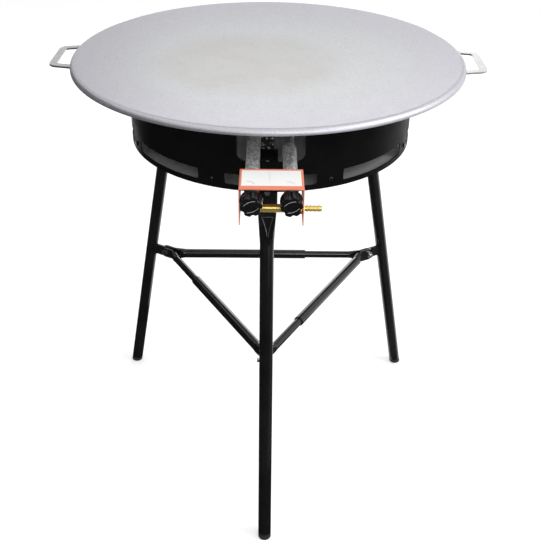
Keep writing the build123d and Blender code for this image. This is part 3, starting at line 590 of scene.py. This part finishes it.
def standing(start, end, low, high):
    """Corners of an upright card over a line on the floor."""
    return [(*start, low), (*end, low), (*end, high), (*start, high)]


card_black = Finish("card_black", (0.015, 0.015, 0.015), roughness=0.9, specular=0.0)
card_grey = Finish("card_grey", (0.12, 0.12, 0.12), roughness=0.9, specular=0.0)
cards = {
    "floor_card": lying((-3.2, -3.4), (3.4, -3.4), (3.4, -0.75), (-3.2, -0.75)),
    "near_card": lying((-3.2, -0.75), (0.28, -0.75), (0.28, 0.25), (-3.2, 0.25)),
    "right_grey_card": lying((0.28, -0.75), (3.4, -0.75), (3.4, 0.25), (0.28, 0.25)),
    "left_floor_card": lying((-3.2, 0.25), (-0.15, 0.25), (-0.3, 1.2), (-3.2, 1.2)),
    "left_back_card": standing((-2.2, 0.0), (-1.9, 2.4), 0, 2.2),
    "left_card": standing((-2.2, -3.0), (-2.2, 0.0), 0, 2.3),
    "front_card": standing((-2.2, -3.2), (1.4, -3.2), 0, 1.9),
    "back_card": standing((-2.8, 4.2), (2.6, 4.2), 3.0, 5.0),
}
for name, corners in cards.items():
    card = panel(name, corners, card_grey if "grey" in name else card_black)
    card.visible_camera = False
    card.visible_diffuse = False
    card.visible_shadow = False
print("cards:", len(cards))

# %% [markdown]
# Weld beads, folds, threads, rivets and printed strokes all follow a path or sit on a set of points, so
# each kind is one Geometry Nodes tree. A modelled mesh would have to be made anew for every place; a tree
# only needs new paths. These helpers open a tree, close it, and hold the few nodes that several trees use.

# %% Helpers for geometry trees
def growth_tree(name, numbers):
    """An empty geometry tree with number inputs and a material; returns it with its end sockets."""
    tree = bpy.data.node_groups.new(name, "GeometryNodeTree")
    tree.interface.new_socket("Geometry", in_out="INPUT", socket_type="NodeSocketGeometry")
    for label, value in numbers.items():
        kind = "NodeSocketInt" if isinstance(value, int) else "NodeSocketFloat"
        tree.interface.new_socket(label, in_out="INPUT", socket_type=kind).default_value = value
    tree.interface.new_socket("Material", in_out="INPUT", socket_type="NodeSocketMaterial")
    tree.interface.new_socket("Geometry", in_out="OUTPUT", socket_type="NodeSocketGeometry")
    return tree, tree.nodes.new("NodeGroupInput").outputs, tree.nodes.new("NodeGroupOutput").inputs


def close_tree(tree, given, result, geometry, smooth):
    """Make the instances real, set the shading and give them the material."""
    real = add(tree, "GeometryNodeRealizeInstances", {"Geometry": geometry}).outputs[0]
    shaded = add(tree, "GeometryNodeSetShadeSmooth", {"Geometry": real, "Shade Smooth": smooth}).outputs[0]
    inputs = {"Geometry": shaded, "Material": given["Material"]}
    tree.links.new(add(tree, "GeometryNodeSetMaterial", inputs).outputs[0], result["Geometry"])


def path_curve(tree, given):
    """The starting mesh's paths as curves."""
    return add(tree, "GeometryNodeMeshToCurve", {"Mesh": given["Geometry"]}).outputs[0]


def sweep(tree, curve, section):
    """A section drawn along a curve, with closed ends."""
    inputs = {"Curve": curve, "Profile Curve": section, "Fill Caps": True}
    return add(tree, "GeometryNodeCurveToMesh", inputs).outputs[0]


def stored_axis(tree):
    """The axis that each point of a starting mesh remembers."""
    node = add(tree, "GeometryNodeInputNamedAttribute", {"Name": "axis"}, data_type="FLOAT_VECTOR")
    return node.outputs["Attribute"]


def on_axes(tree, points, shape):
    """The shape on every point, its Z turned to the point's axis."""
    turn = add(tree, "FunctionNodeAlignRotationToVector", {"Vector": stored_axis(tree)}, axis="Z").outputs[0]
    inputs = {"Points": points, "Instance": shape, "Rotation": turn}
    return add(tree, "GeometryNodeInstanceOnPoints", inputs).outputs[0]


# %% [markdown]
# A starting mesh carries the paths, with an axis for each of them, and a tree grows the metal on it. The
# tree's inputs are set on the modifier, by their sockets' identifiers, before it runs for the first time.
# The result is kept as a plain mesh, so that a finished piece does not hang on a live modifier.

# %% Start a mesh and grow it
def start_mesh(name, paths, axes=None):
    """A mesh of edge chains, or loose points where a path has one point; each keeps its path's axis."""
    points = []
    edges = []
    point_axes = []
    for number, path in enumerate(paths):
        first = len(points)
        points += path
        edges += [(first + step, first + step + 1) for step in range(len(path) - 1)]
        point_axes += [axes[number] if axes else UP] * len(path)
    mesh = bpy.data.meshes.new(name)
    mesh.from_pydata(points, edges, [])
    stored = mesh.attributes.new("axis", "FLOAT_VECTOR", "POINT")
    for row, axis in zip(stored.data, point_axes):
        row.vector = axis
    return mesh


def grow(tree, mesh, finish, body, slot, **inputs):
    """Run a tree on a starting mesh and keep the result as a plain piece of a body."""
    piece = bpy.data.objects.new(mesh.name, mesh)
    scene.collection.objects.link(piece)
    modifier = piece.modifiers.new("growth", "NODES")
    modifier.node_group = tree
    inputs["Material"] = FINISHES[finish]
    for item in tree.interface.items_tree:
        if item.in_out == "INPUT" and item.name in inputs:
            modifier[item.identifier] = inputs[item.name]
    grown = bpy.data.meshes.new_from_object(piece.evaluated_get(bpy.context.evaluated_depsgraph_get()))
    piece.modifiers.clear()
    piece.data = grown
    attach(piece, body)
    print(f"{piece.name}: {len(grown.polygons)} faces on {body}")


# %% [markdown]
# A weld bead is a row of drops that overlap. A plain tube along the joint would look like a cord, so the
# tree sets small balls along each path, close together and a little uneven in size. The seed is fixed,
# so that every run gives the same bead.

# %% Weld bead tree
DROP_SIZES = (0.85, 1.15)       # the smallest and the largest drop, as shares of the size


def make_bead_tree():
    """A weld bead: overlapping drops along each path, a little uneven."""
    tree, given, result = growth_tree("weld bead", {"Step": 2.0 * MM, "Size": 2.5 * MM, "Seed": 4})
    inputs = {"Curve": path_curve(tree, given), "Length": given["Step"]}
    drops = add(tree, "GeometryNodeResampleCurve", inputs, mode="LENGTH").outputs[0]
    inputs = {"Radius": given["Size"], "Subdivisions": 2}
    drop = add(tree, "GeometryNodeMeshIcoSphere", inputs).outputs["Mesh"]
    # Inputs 2 and 3 and output 1 of a Random Value node are for decimal numbers.
    inputs = {2: DROP_SIZES[0], 3: DROP_SIZES[1], "Seed": given["Seed"]}
    uneven = add(tree, "FunctionNodeRandomValue", inputs, data_type="FLOAT").outputs[1]
    inputs = {"Points": drops, "Instance": drop, "Scale": uneven}
    close_tree(tree, given, result, add(tree, "GeometryNodeInstanceOnPoints", inputs).outputs[0], True)
    return tree


BEAD = make_bead_tree()
print("tree:", BEAD.name, "with", len(BEAD.nodes), "nodes")

# %% [markdown]
# Each brace tab is welded into its leg along both faces. The legs lean, so the paths are worked out on
# the front leg's line and turned to the other two legs about the pan's axis.

# %% Weld beads on the stand
LEG_TURNS = (0.0, 120.0, 240.0)
LEG_RADIUS = 13.5 * MM
FOOT_CIRCLE = 411.5 * MM
LEG_SLOPE = 161.5 / 767.5       # how far a leg leans inwards over its height
leg_lean = math.atan(LEG_SLOPE)
leg_inwards = Vector((0, math.cos(leg_lean), -math.sin(leg_lean)))


def turned(vector, degrees):
    """A vector turned about the upright."""
    return Matrix.Rotation(math.radians(degrees), 3, "Z") @ Vector(vector)


def placed(point, degrees=0.0):
    """A point given round the pan's axis, turned about that axis and set in its place."""
    return turned(point, degrees) + AXIS


def leg_axis(height):
    """The front leg's axis at a height, given round the pan's axis."""
    return Vector((0, LEG_SLOPE * height - FOOT_CIRCLE, height))


tab_low, tab_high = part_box("brace_tab_front")
tab_half = (tab_high.x - tab_low.x) / 2
into_tube = leg_inwards * math.sqrt(LEG_RADIUS ** 2 - tab_half ** 2)
tab_paths = []
for degrees in LEG_TURNS:
    for side in (-tab_half, tab_half):
        ends = [leg_axis(height) + into_tube + Vector((side, 0, 0)) for height in (tab_low.z, tab_high.z)]
        tab_paths.append([placed(point, degrees) for point in ends])
grow(BEAD, start_mesh("brace_tab_welds", tab_paths), "stand_black", "stand", "stand_black", Size=2.2 * MM)

# %% [markdown]
# A tube that is pressed flat at its end folds: one crease runs across where the flat begins, and two
# more run together down the round part. Each is a low ridge, a round section drawn along a path and
# sunk into the skin of the leg, thinner towards its ends.

# %% Fold tree
FULL_UNTIL = 0.3                # from a fold's middle, as a share of its length
END_THICKNESS = 0.7             # as a share of the full thickness


def make_fold_tree():
    """A low round ridge along each path, thinner at both ends."""
    tree, given, result = growth_tree("fold", {"Radius": 3.2 * MM})
    along = add(tree, "GeometryNodeSplineParameter").outputs["Factor"]
    from_middle = calculate(tree, "ABSOLUTE", calculate(tree, "SUBTRACT", along, 0.5))
    thickness = ramp(tree, from_middle, 0.5, FULL_UNTIL, low=END_THICKNESS)
    inputs = {"Curve": path_curve(tree, given), "Radius": thickness}
    curve = add(tree, "GeometryNodeSetCurveRadius", inputs).outputs[0]
    inputs = {"Resolution": 32, "Radius": given["Radius"]}
    section = add(tree, "GeometryNodeCurvePrimitiveCircle", inputs).outputs["Curve"]
    close_tree(tree, given, result, sweep(tree, curve, section), True)
    return tree


FOLD = make_fold_tree()
print("tree:", FOLD.name, "with", len(FOLD.nodes), "nodes")

# %% [markdown]
# The leg's skin is neither round nor flat there, so a formula for it would be long. A ray shot at the
# leg finds the skin instead. The paths are found on the front leg, outside and inside, and turned to
# the other legs.

# %% Folds on the legs
FLAT_HEIGHT = 704.0 * MM        # where the flat ends
FOLD_REACH = 10.5 * MM          # from the middle line to the outer end of a fold
FOLD_DROP = 36.0 * MM
FOLD_GAP = 0.8 * MM             # from the middle line to the inner end of a fold
FOLD_BEND = 1.5                 # 1 would be a straight fold
FOLD_SINK = 2.4 * MM            # how deep the middle of a ridge lies under the skin
FOLD_STEPS = 14
RAY_START = 50.0 * MM           # from the leg's axis to where a ray starts
front_leg = frame["nodes"]["leg_front"]
into_leg = front_leg.matrix_world.inverted()


def leg_skin(aside, height, face):
    """A place just under the front leg's skin; face is 1 for its outside and -1 for its inside."""
    inwards = leg_inwards * face
    start = placed(leg_axis(height) + Vector((aside, 0, 0)) - inwards * RAY_START)
    depsgraph = bpy.context.evaluated_depsgraph_get()
    found = front_leg.ray_cast(into_leg @ start, into_leg.to_3x3() @ inwards, depsgraph=depsgraph)
    return front_leg.matrix_world @ found[1] + inwards * FOLD_SINK - AXIS


shares = [step / FOLD_STEPS for step in range(FOLD_STEPS + 1)]
asides = [FOLD_REACH * (1 - share) ** FOLD_BEND + FOLD_GAP for share in shares]
heights = [FLAT_HEIGHT - FOLD_DROP * share for share in shares]
fold_paths = []
for face in (1, -1):
    runs = [[leg_skin(FOLD_REACH * (2 * share - 1), FLAT_HEIGHT, face) for share in shares]]
    for side in (-1, 1):
        runs.append([leg_skin(side * aside, height, face) for aside, height in zip(asides, heights)])
    for degrees in LEG_TURNS:
        fold_paths += [[placed(point, degrees) for point in run] for run in runs]
grow(FOLD, start_mesh("leg_folds", fold_paths), "stand_black", "stand", "stand_black")

# %% [markdown]
# The burner rings are welded to the flat arms that carry them, and the arms to the pan supports. Each of
# these beads runs straight across an arm, so its path needs no more than two ends. They are listed for
# the front arm and turned to the others.

# %% Weld paths on the burner arms
WELD_INSET = 2 * MM             # from an arm's edge to the end of a bead across it
WELD_RISE = 1 * MM              # from an arm's top to the bead at a ring
RING_FOOT = 0.4                 # from a ring's middle line to its beads, as a share of its tube's radius
arm_low, arm_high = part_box("burner_arm_front")
arm_half = (arm_high.x - arm_low.x) / 2 - WELD_INSET
arm_end = AXIS.y - arm_low.y


def ring_sizes(node):
    """A burner ring's middle radius, its tube's radius and its height, from its box."""
    low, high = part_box(node)
    tube = (high.z - low.z) / 2
    return (high.x - low.x) / 2 - tube, tube, (high.z + low.z) / 2


outer_radius, outer_tube, outer_z = ring_sizes("burner_outer_ring")
inner_radius, inner_tube, inner_z = ring_sizes("burner_inner_ring")
beads = [(arm_end, arm_high.z), (arm_end, arm_low.z)]
for radius, tube in ((outer_radius, outer_tube), (inner_radius, inner_tube)):
    beads += [(radius + foot * tube, arm_high.z + WELD_RISE) for foot in (-RING_FOOT, RING_FOOT)]
burner_paths = []
for degrees in LEG_TURNS:
    for radius, height in beads:
        ends = [(side, -radius, height) for side in (-arm_half, arm_half)]
        burner_paths.append([placed(point, degrees) for point in ends])
print("beads across the arms:", len(burner_paths))

# %% [markdown]
# Each feed tube is welded to its ring as well: the left one runs into the outer ring from the front, the
# right one into the inner ring from below. A flat circle would leave the skins, so each path follows the
# curve in which the two round skins meet, point by point.

# %% Weld beads on the burner
TUBE_RADIUS = 12.2 * MM
ROUND_STEPS = 24
left_x = middle("feed_tube_left").x
right_x = middle("feed_tube_right").x
riser_y = -math.sqrt(inner_radius ** 2 - right_x ** 2)
outer_path = []
inner_path = []
for step in range(ROUND_STEPS + 1):
    angle = math.tau * step / ROUND_STEPS
    across = TUBE_RADIUS * math.cos(angle)
    along = TUBE_RADIUS * math.sin(angle)
    ring_front = outer_radius + math.sqrt(outer_tube ** 2 - along ** 2)
    outer_x = left_x + across
    outer_path.append(placed((outer_x, -math.sqrt(ring_front ** 2 - outer_x ** 2), outer_z + along)))
    off_ring = math.hypot(right_x + across, riser_y + along) - inner_radius
    drop = math.sqrt(max(inner_tube ** 2 - off_ring ** 2, 0))
    inner_path.append(placed((right_x + across, riser_y + along, inner_z - drop)))
burner_paths += [outer_path, inner_path]
grow(BEAD, start_mesh("burner_welds", burner_paths), "hammertone", "stand", "hammertone", Size=2.4 * MM)

# %% [markdown]
# The handles' arms are welded to the underside of the pan along their edges. The pan is dished, so the
# height of each bead is found by a ray cast straight up against the pan's own mesh.

# %% Weld beads on the handles
PAN_TURN = -1.0                 # degrees, as the pan lies on its supports
ARM_START = 352 * MM            # from the pan's axis to the beads' inner ends
ARM_STOP = 372 * MM
ARM_EDGES = (55 * MM, 70 * MM)  # from a handle's middle line to the edges of its arms
pan_node = frame["nodes"]["griddle_pan"]
handle_paths = []
for degrees in (PAN_TURN, 180 + PAN_TURN):
    for edge in ARM_EDGES:
        for side in (-edge, edge):
            starts = [(reach, side, 0) for reach in (ARM_START, (ARM_START + ARM_STOP) / 2, ARM_STOP)]
            handle_paths.append([pan_node.ray_cast(placed(start, degrees), UP)[1] for start in starts])
grow(BEAD, start_mesh("handle_welds", handle_paths), "pan_steel", "pan", "pan_steel", Size=2.0 * MM)

# %% [markdown]
# CAD bolts are plain cylinders. A thread shows only where a bolt's end stands out of its nut, so a helix
# is wound round just those last millimetres: a Spiral curve with one radius, and a three-sided wire
# along it.

# %% Thread tree
def make_thread_tree():
    """A bolt's thread: a three-sided wire wound into a helix on every point."""
    numbers = {"Radius": 4.0 * MM, "Turns": 4.0, "Length": 4.5 * MM, "Wire": 0.55 * MM}
    tree, given, result = growth_tree("thread", numbers)
    helix = add(tree, "GeometryNodeCurveSpiral", {
        "Resolution": 20,
        "Rotations": given["Turns"],
        "Start Radius": given["Radius"],
        "End Radius": given["Radius"],
        "Height": given["Length"],
    }).outputs[0]
    inputs = {"Resolution": 3, "Radius": given["Wire"]}
    wire = add(tree, "GeometryNodeCurvePrimitiveCircle", inputs).outputs["Curve"]
    thread = sweep(tree, helix, wire)
    close_tree(tree, given, result, on_axes(tree, given["Geometry"], thread), False)
    return tree


THREAD = make_thread_tree()
print("tree:", THREAD.name, "with", len(THREAD.nodes), "nodes")

# %% [markdown]
# The bolts' places follow from the leg's line, the pan supports and the brace tabs. Each is worked out
# at the front and turned to the other legs, with the axis that its thread winds round.

# %% Bolt threads
LEG_BOLT_HEIGHT = 751.5 * MM
LEG_NUT_END = 12.15 * MM        # from the leg's axis to the nut's outer face
SUPPORT_BOLT_HEIGHT = 805.5 * MM
SUPPORT_NUT_END = 10.05 * MM    # from the support's front to the nut's outer face
BRACE_CIRCLE = 287 * MM
BRACE_NUT_END = 13.7 * MM       # from the tab's middle to the nut's outer face
support_circle = AXIS.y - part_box("pan_support_front")[0].y
brace_height = middle("brace_tab_front").z


def bolt_ends(start, axis):
    """One bolt end turned to all three legs: starting points and axes."""
    points = [[placed(start, degrees)] for degrees in LEG_TURNS]
    axes = [turned(axis, degrees) for degrees in LEG_TURNS]
    return points, axes


leg_points, leg_axes = bolt_ends(leg_axis(LEG_BOLT_HEIGHT) + leg_inwards * LEG_NUT_END, leg_inwards)
support_start = (0, SUPPORT_NUT_END - support_circle, SUPPORT_BOLT_HEIGHT)
support_points, support_axes = bolt_ends(support_start, (0, 1, 0))
brace_points, brace_axes = bolt_ends((-BRACE_NUT_END, -BRACE_CIRCLE, brace_height), (-1, 0, 0))
small = start_mesh("leg_bolt_threads", leg_points + support_points, leg_axes + support_axes)
grow(THREAD, small, "zinc", "stand", "zinc", Radius=2.9 * MM, Turns=4.5)
large = start_mesh("brace_bolt_threads", brace_points, brace_axes)
grow(THREAD, large, "zinc", "stand", "zinc", Radius=3.9 * MM, Turns=3.6)

# %% [markdown]
# A lap of sheet and a printed mark have the same shape: a flat strip along a path. It needs a normal, or
# the strip could twist, so the tree takes it from the axis that the path remembers. A rivet's head is a
# flattened ball on a point.

# %% Stroke and rivet trees
def make_stroke_tree():
    """A flat strip along each path, lying square to the path's axis."""
    tree, given, result = growth_tree("stroke", {"Width": 1.0 * MM, "Rise": 0.2 * MM})
    inputs = {"Curve": path_curve(tree, given), "Normal": stored_axis(tree)}
    curve = add(tree, "GeometryNodeSetCurveNormal", inputs, mode="FREE").outputs[0]
    inputs = {"Width": given["Width"], "Height": given["Rise"]}
    section = add(tree, "GeometryNodeCurvePrimitiveQuadrilateral", inputs).outputs[0]
    close_tree(tree, given, result, sweep(tree, curve, section), False)
    return tree


def make_rivet_tree():
    """A flat dome on every point."""
    tree, given, result = growth_tree("rivets", {"Radius": 4.0 * MM, "Rise": 0.5})
    inputs = {"Segments": 20, "Rings": 12, "Radius": given["Radius"]}
    ball = add(tree, "GeometryNodeMeshUVSphere", inputs).outputs["Mesh"]
    inputs = {"X": 1.0, "Y": 1.0, "Z": given["Rise"]}
    flatten = add(tree, "ShaderNodeCombineXYZ", inputs).outputs[0]
    dome = add(tree, "GeometryNodeTransform", {"Geometry": ball, "Scale": flatten}).outputs[0]
    close_tree(tree, given, result, on_axes(tree, given["Geometry"], dome), True)
    return tree


STROKE = make_stroke_tree()
RIVET = make_rivet_tree()
print("trees:", STROKE.name, "and", RIVET.name)

# %% [markdown]
# The windshield is one strip of sheet rolled into a ring. Its ends lap at the back, under one of the
# floor plate's screws, and rivets hold the lap. The lap is a flat stroke up the wall.

# %% Lap seam and rivets
SEAM_TURN = 202.7               # degrees from the front to the lap
SEAM_STANDOFF = 0.35 * MM       # from the wall to the middle of the lap's sheet
RIVET_STANDOFF = 1.05 * MM      # from the wall to the lap's outer face
RIVET_RISES = (52 * MM, 80 * MM, 108 * MM, 135 * MM)
wall_low, wall_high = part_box("windshield")
wall_radius = (wall_high.x - wall_low.x) / 2
wall_axis = Vector((middle("windshield").x, middle("windshield").y, 0))
outwards = turned((0, -1, 0), SEAM_TURN)


def on_wall(standoff, height):
    """A place at the seam, a standoff away from the windshield's wall."""
    return wall_axis + outwards * (wall_radius + standoff) + UP * height


seam = [on_wall(SEAM_STANDOFF, height) for height in (wall_low.z, wall_high.z)]
mesh = start_mesh("windshield_seam", [seam], [outwards])
grow(STROKE, mesh, "shield_black", "stand", "shield_black", Width=22 * MM, Rise=1.4 * MM)
rivets = [[on_wall(RIVET_STANDOFF, wall_low.z + rise)] for rise in RIVET_RISES]
mesh = start_mesh("seam_rivets", rivets, [outwards] * len(rivets))
grow(RIVET, mesh, "shield_black", "stand", "shield_black", Radius=3.6 * MM, Rise=0.45)

# %% [markdown]
# Each knob's face carries two white arcs round its dish. Each arc is a thin white stroke, a fraction of
# a millimetre thick, that rests on the face. It rides on the knob and turns with it.

# %% Knob marks
ARC_STEPS = 16
KNOB_ARC_RADIUS = 22.5 * MM
KNOB_ARC_TURN = 114.5           # degrees from level right to the upper arc's middle, seen from the front
KNOB_ARC_SPREAD = 26.0          # degrees to either side of that middle
KNOB_ARC_PLACE = 8.6 * MM       # from the knob's axis to the arc's middle


def arc(start, end, radius):
    """Points of an arc about the origin, as pairs."""
    angles = [math.radians(start + (end - start) * step / ARC_STEPS) for step in range(ARC_STEPS + 1)]
    return [(radius * math.cos(angle), radius * math.sin(angle)) for angle in angles]


for side in ("left", "right"):
    face = middle(f"knob_{side}")
    face.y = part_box(f"knob_{side}")[0].y
    arcs = []
    for degrees in (KNOB_ARC_TURN, KNOB_ARC_TURN + 180):
        towards = Vector((math.cos(math.radians(degrees)), 0, math.sin(math.radians(degrees))))
        center = face + towards * (KNOB_ARC_PLACE - KNOB_ARC_RADIUS)
        points = arc(degrees + KNOB_ARC_SPREAD, degrees - KNOB_ARC_SPREAD, KNOB_ARC_RADIUS)
        arcs.append([center + Vector((x, 0, z)) for x, z in points])
    mesh = start_mesh(f"knob_marks_{side}", arcs, [Vector((0, -1, 0))] * len(arcs))
    grow(STROKE, mesh, "mark_white", f"knob_{side}", "label_white", Width=1.2 * MM, Rise=0.2 * MM)

# %% [markdown]
# The panel on the guard stays bare but for a dividing line and one short arc over each knob. They are
# strokes again, laid on the panel's top and measured from its edges and from the knobs' axes.

# %% Panel marks
LINE_SHIFT = -2.6 * MM          # the dividing line stands a little left of the panel's middle
LINE_SHARES = (0.14, 0.73)      # where it starts and ends, from the panel's back edge
HINT_RADIUS = 10.0 * MM
HINT_TURNS = (105, 0)           # degrees from the right, seen from above, where an arc starts and ends
HINT_BACK = 3.5 * MM            # from the panel's front edge to the hint arc's centre
HINT_LEFT = 5.2 * MM            # from the knob's axis to the hint arc's centre
label_low, label_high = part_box("guard_label")
label_depth = label_high.y - label_low.y
line_x = middle("guard_label").x + LINE_SHIFT
panel_paths = [[Vector((line_x, label_high.y - share * label_depth, label_high.z)) for share in LINE_SHARES]]
for side in ("left", "right"):
    center = Vector((middle(f"knob_{side}").x - HINT_LEFT, label_low.y + HINT_BACK, label_high.z))
    panel_paths.append([center + Vector((x, y, 0)) for x, y in arc(*HINT_TURNS, HINT_RADIUS)])
mesh = start_mesh("panel_marks", panel_paths)
grow(STROKE, mesh, "mark_grey", "stand", "label_white", Width=0.8 * MM, Rise=0.2 * MM)

# %% [markdown]
# Pushing a knob in squeezes the return spring behind its collar. Each spring is replaced by a copy of
# itself with its loose triangles joined, and the CAD spring is hidden. The places of its end turns are
# measured from its box.

# %% Joined spring copies
END_TURN = 0.6 * MM             # what keeps its shape at either end
MERGE_DISTANCE = 0.001 * MM


def merged_copy(name, node):
    """A piece with the same shape as a CAD node, its loose triangles joined."""
    shape = bmesh.new()
    shape.from_mesh(frame["nodes"][node].data)
    bmesh.ops.remove_doubles(shape, verts=shape.verts, dist=MERGE_DISTANCE)
    mesh = bpy.data.meshes.new(name)
    shape.to_mesh(mesh)
    shape.free()
    mesh.materials.append(frame["nodes"][node].data.materials[0])
    piece = bpy.data.objects.new(name, mesh)
    scene.collection.objects.link(piece)
    return piece


for side in ("left", "right"):
    node = f"tap_spring_{side}"
    spring = merged_copy(f"squeezed_spring_{side}", node)
    inner_end = middle(node)
    outer_end = middle(node)
    inner_end.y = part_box(node)[1].y - END_TURN
    outer_end.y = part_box(node)[0].y + END_TURN
    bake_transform(spring)
    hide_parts(node)
    print(f"{spring.name}: {(inner_end.y - outer_end.y) / MM:.1f} mm between its end turns")
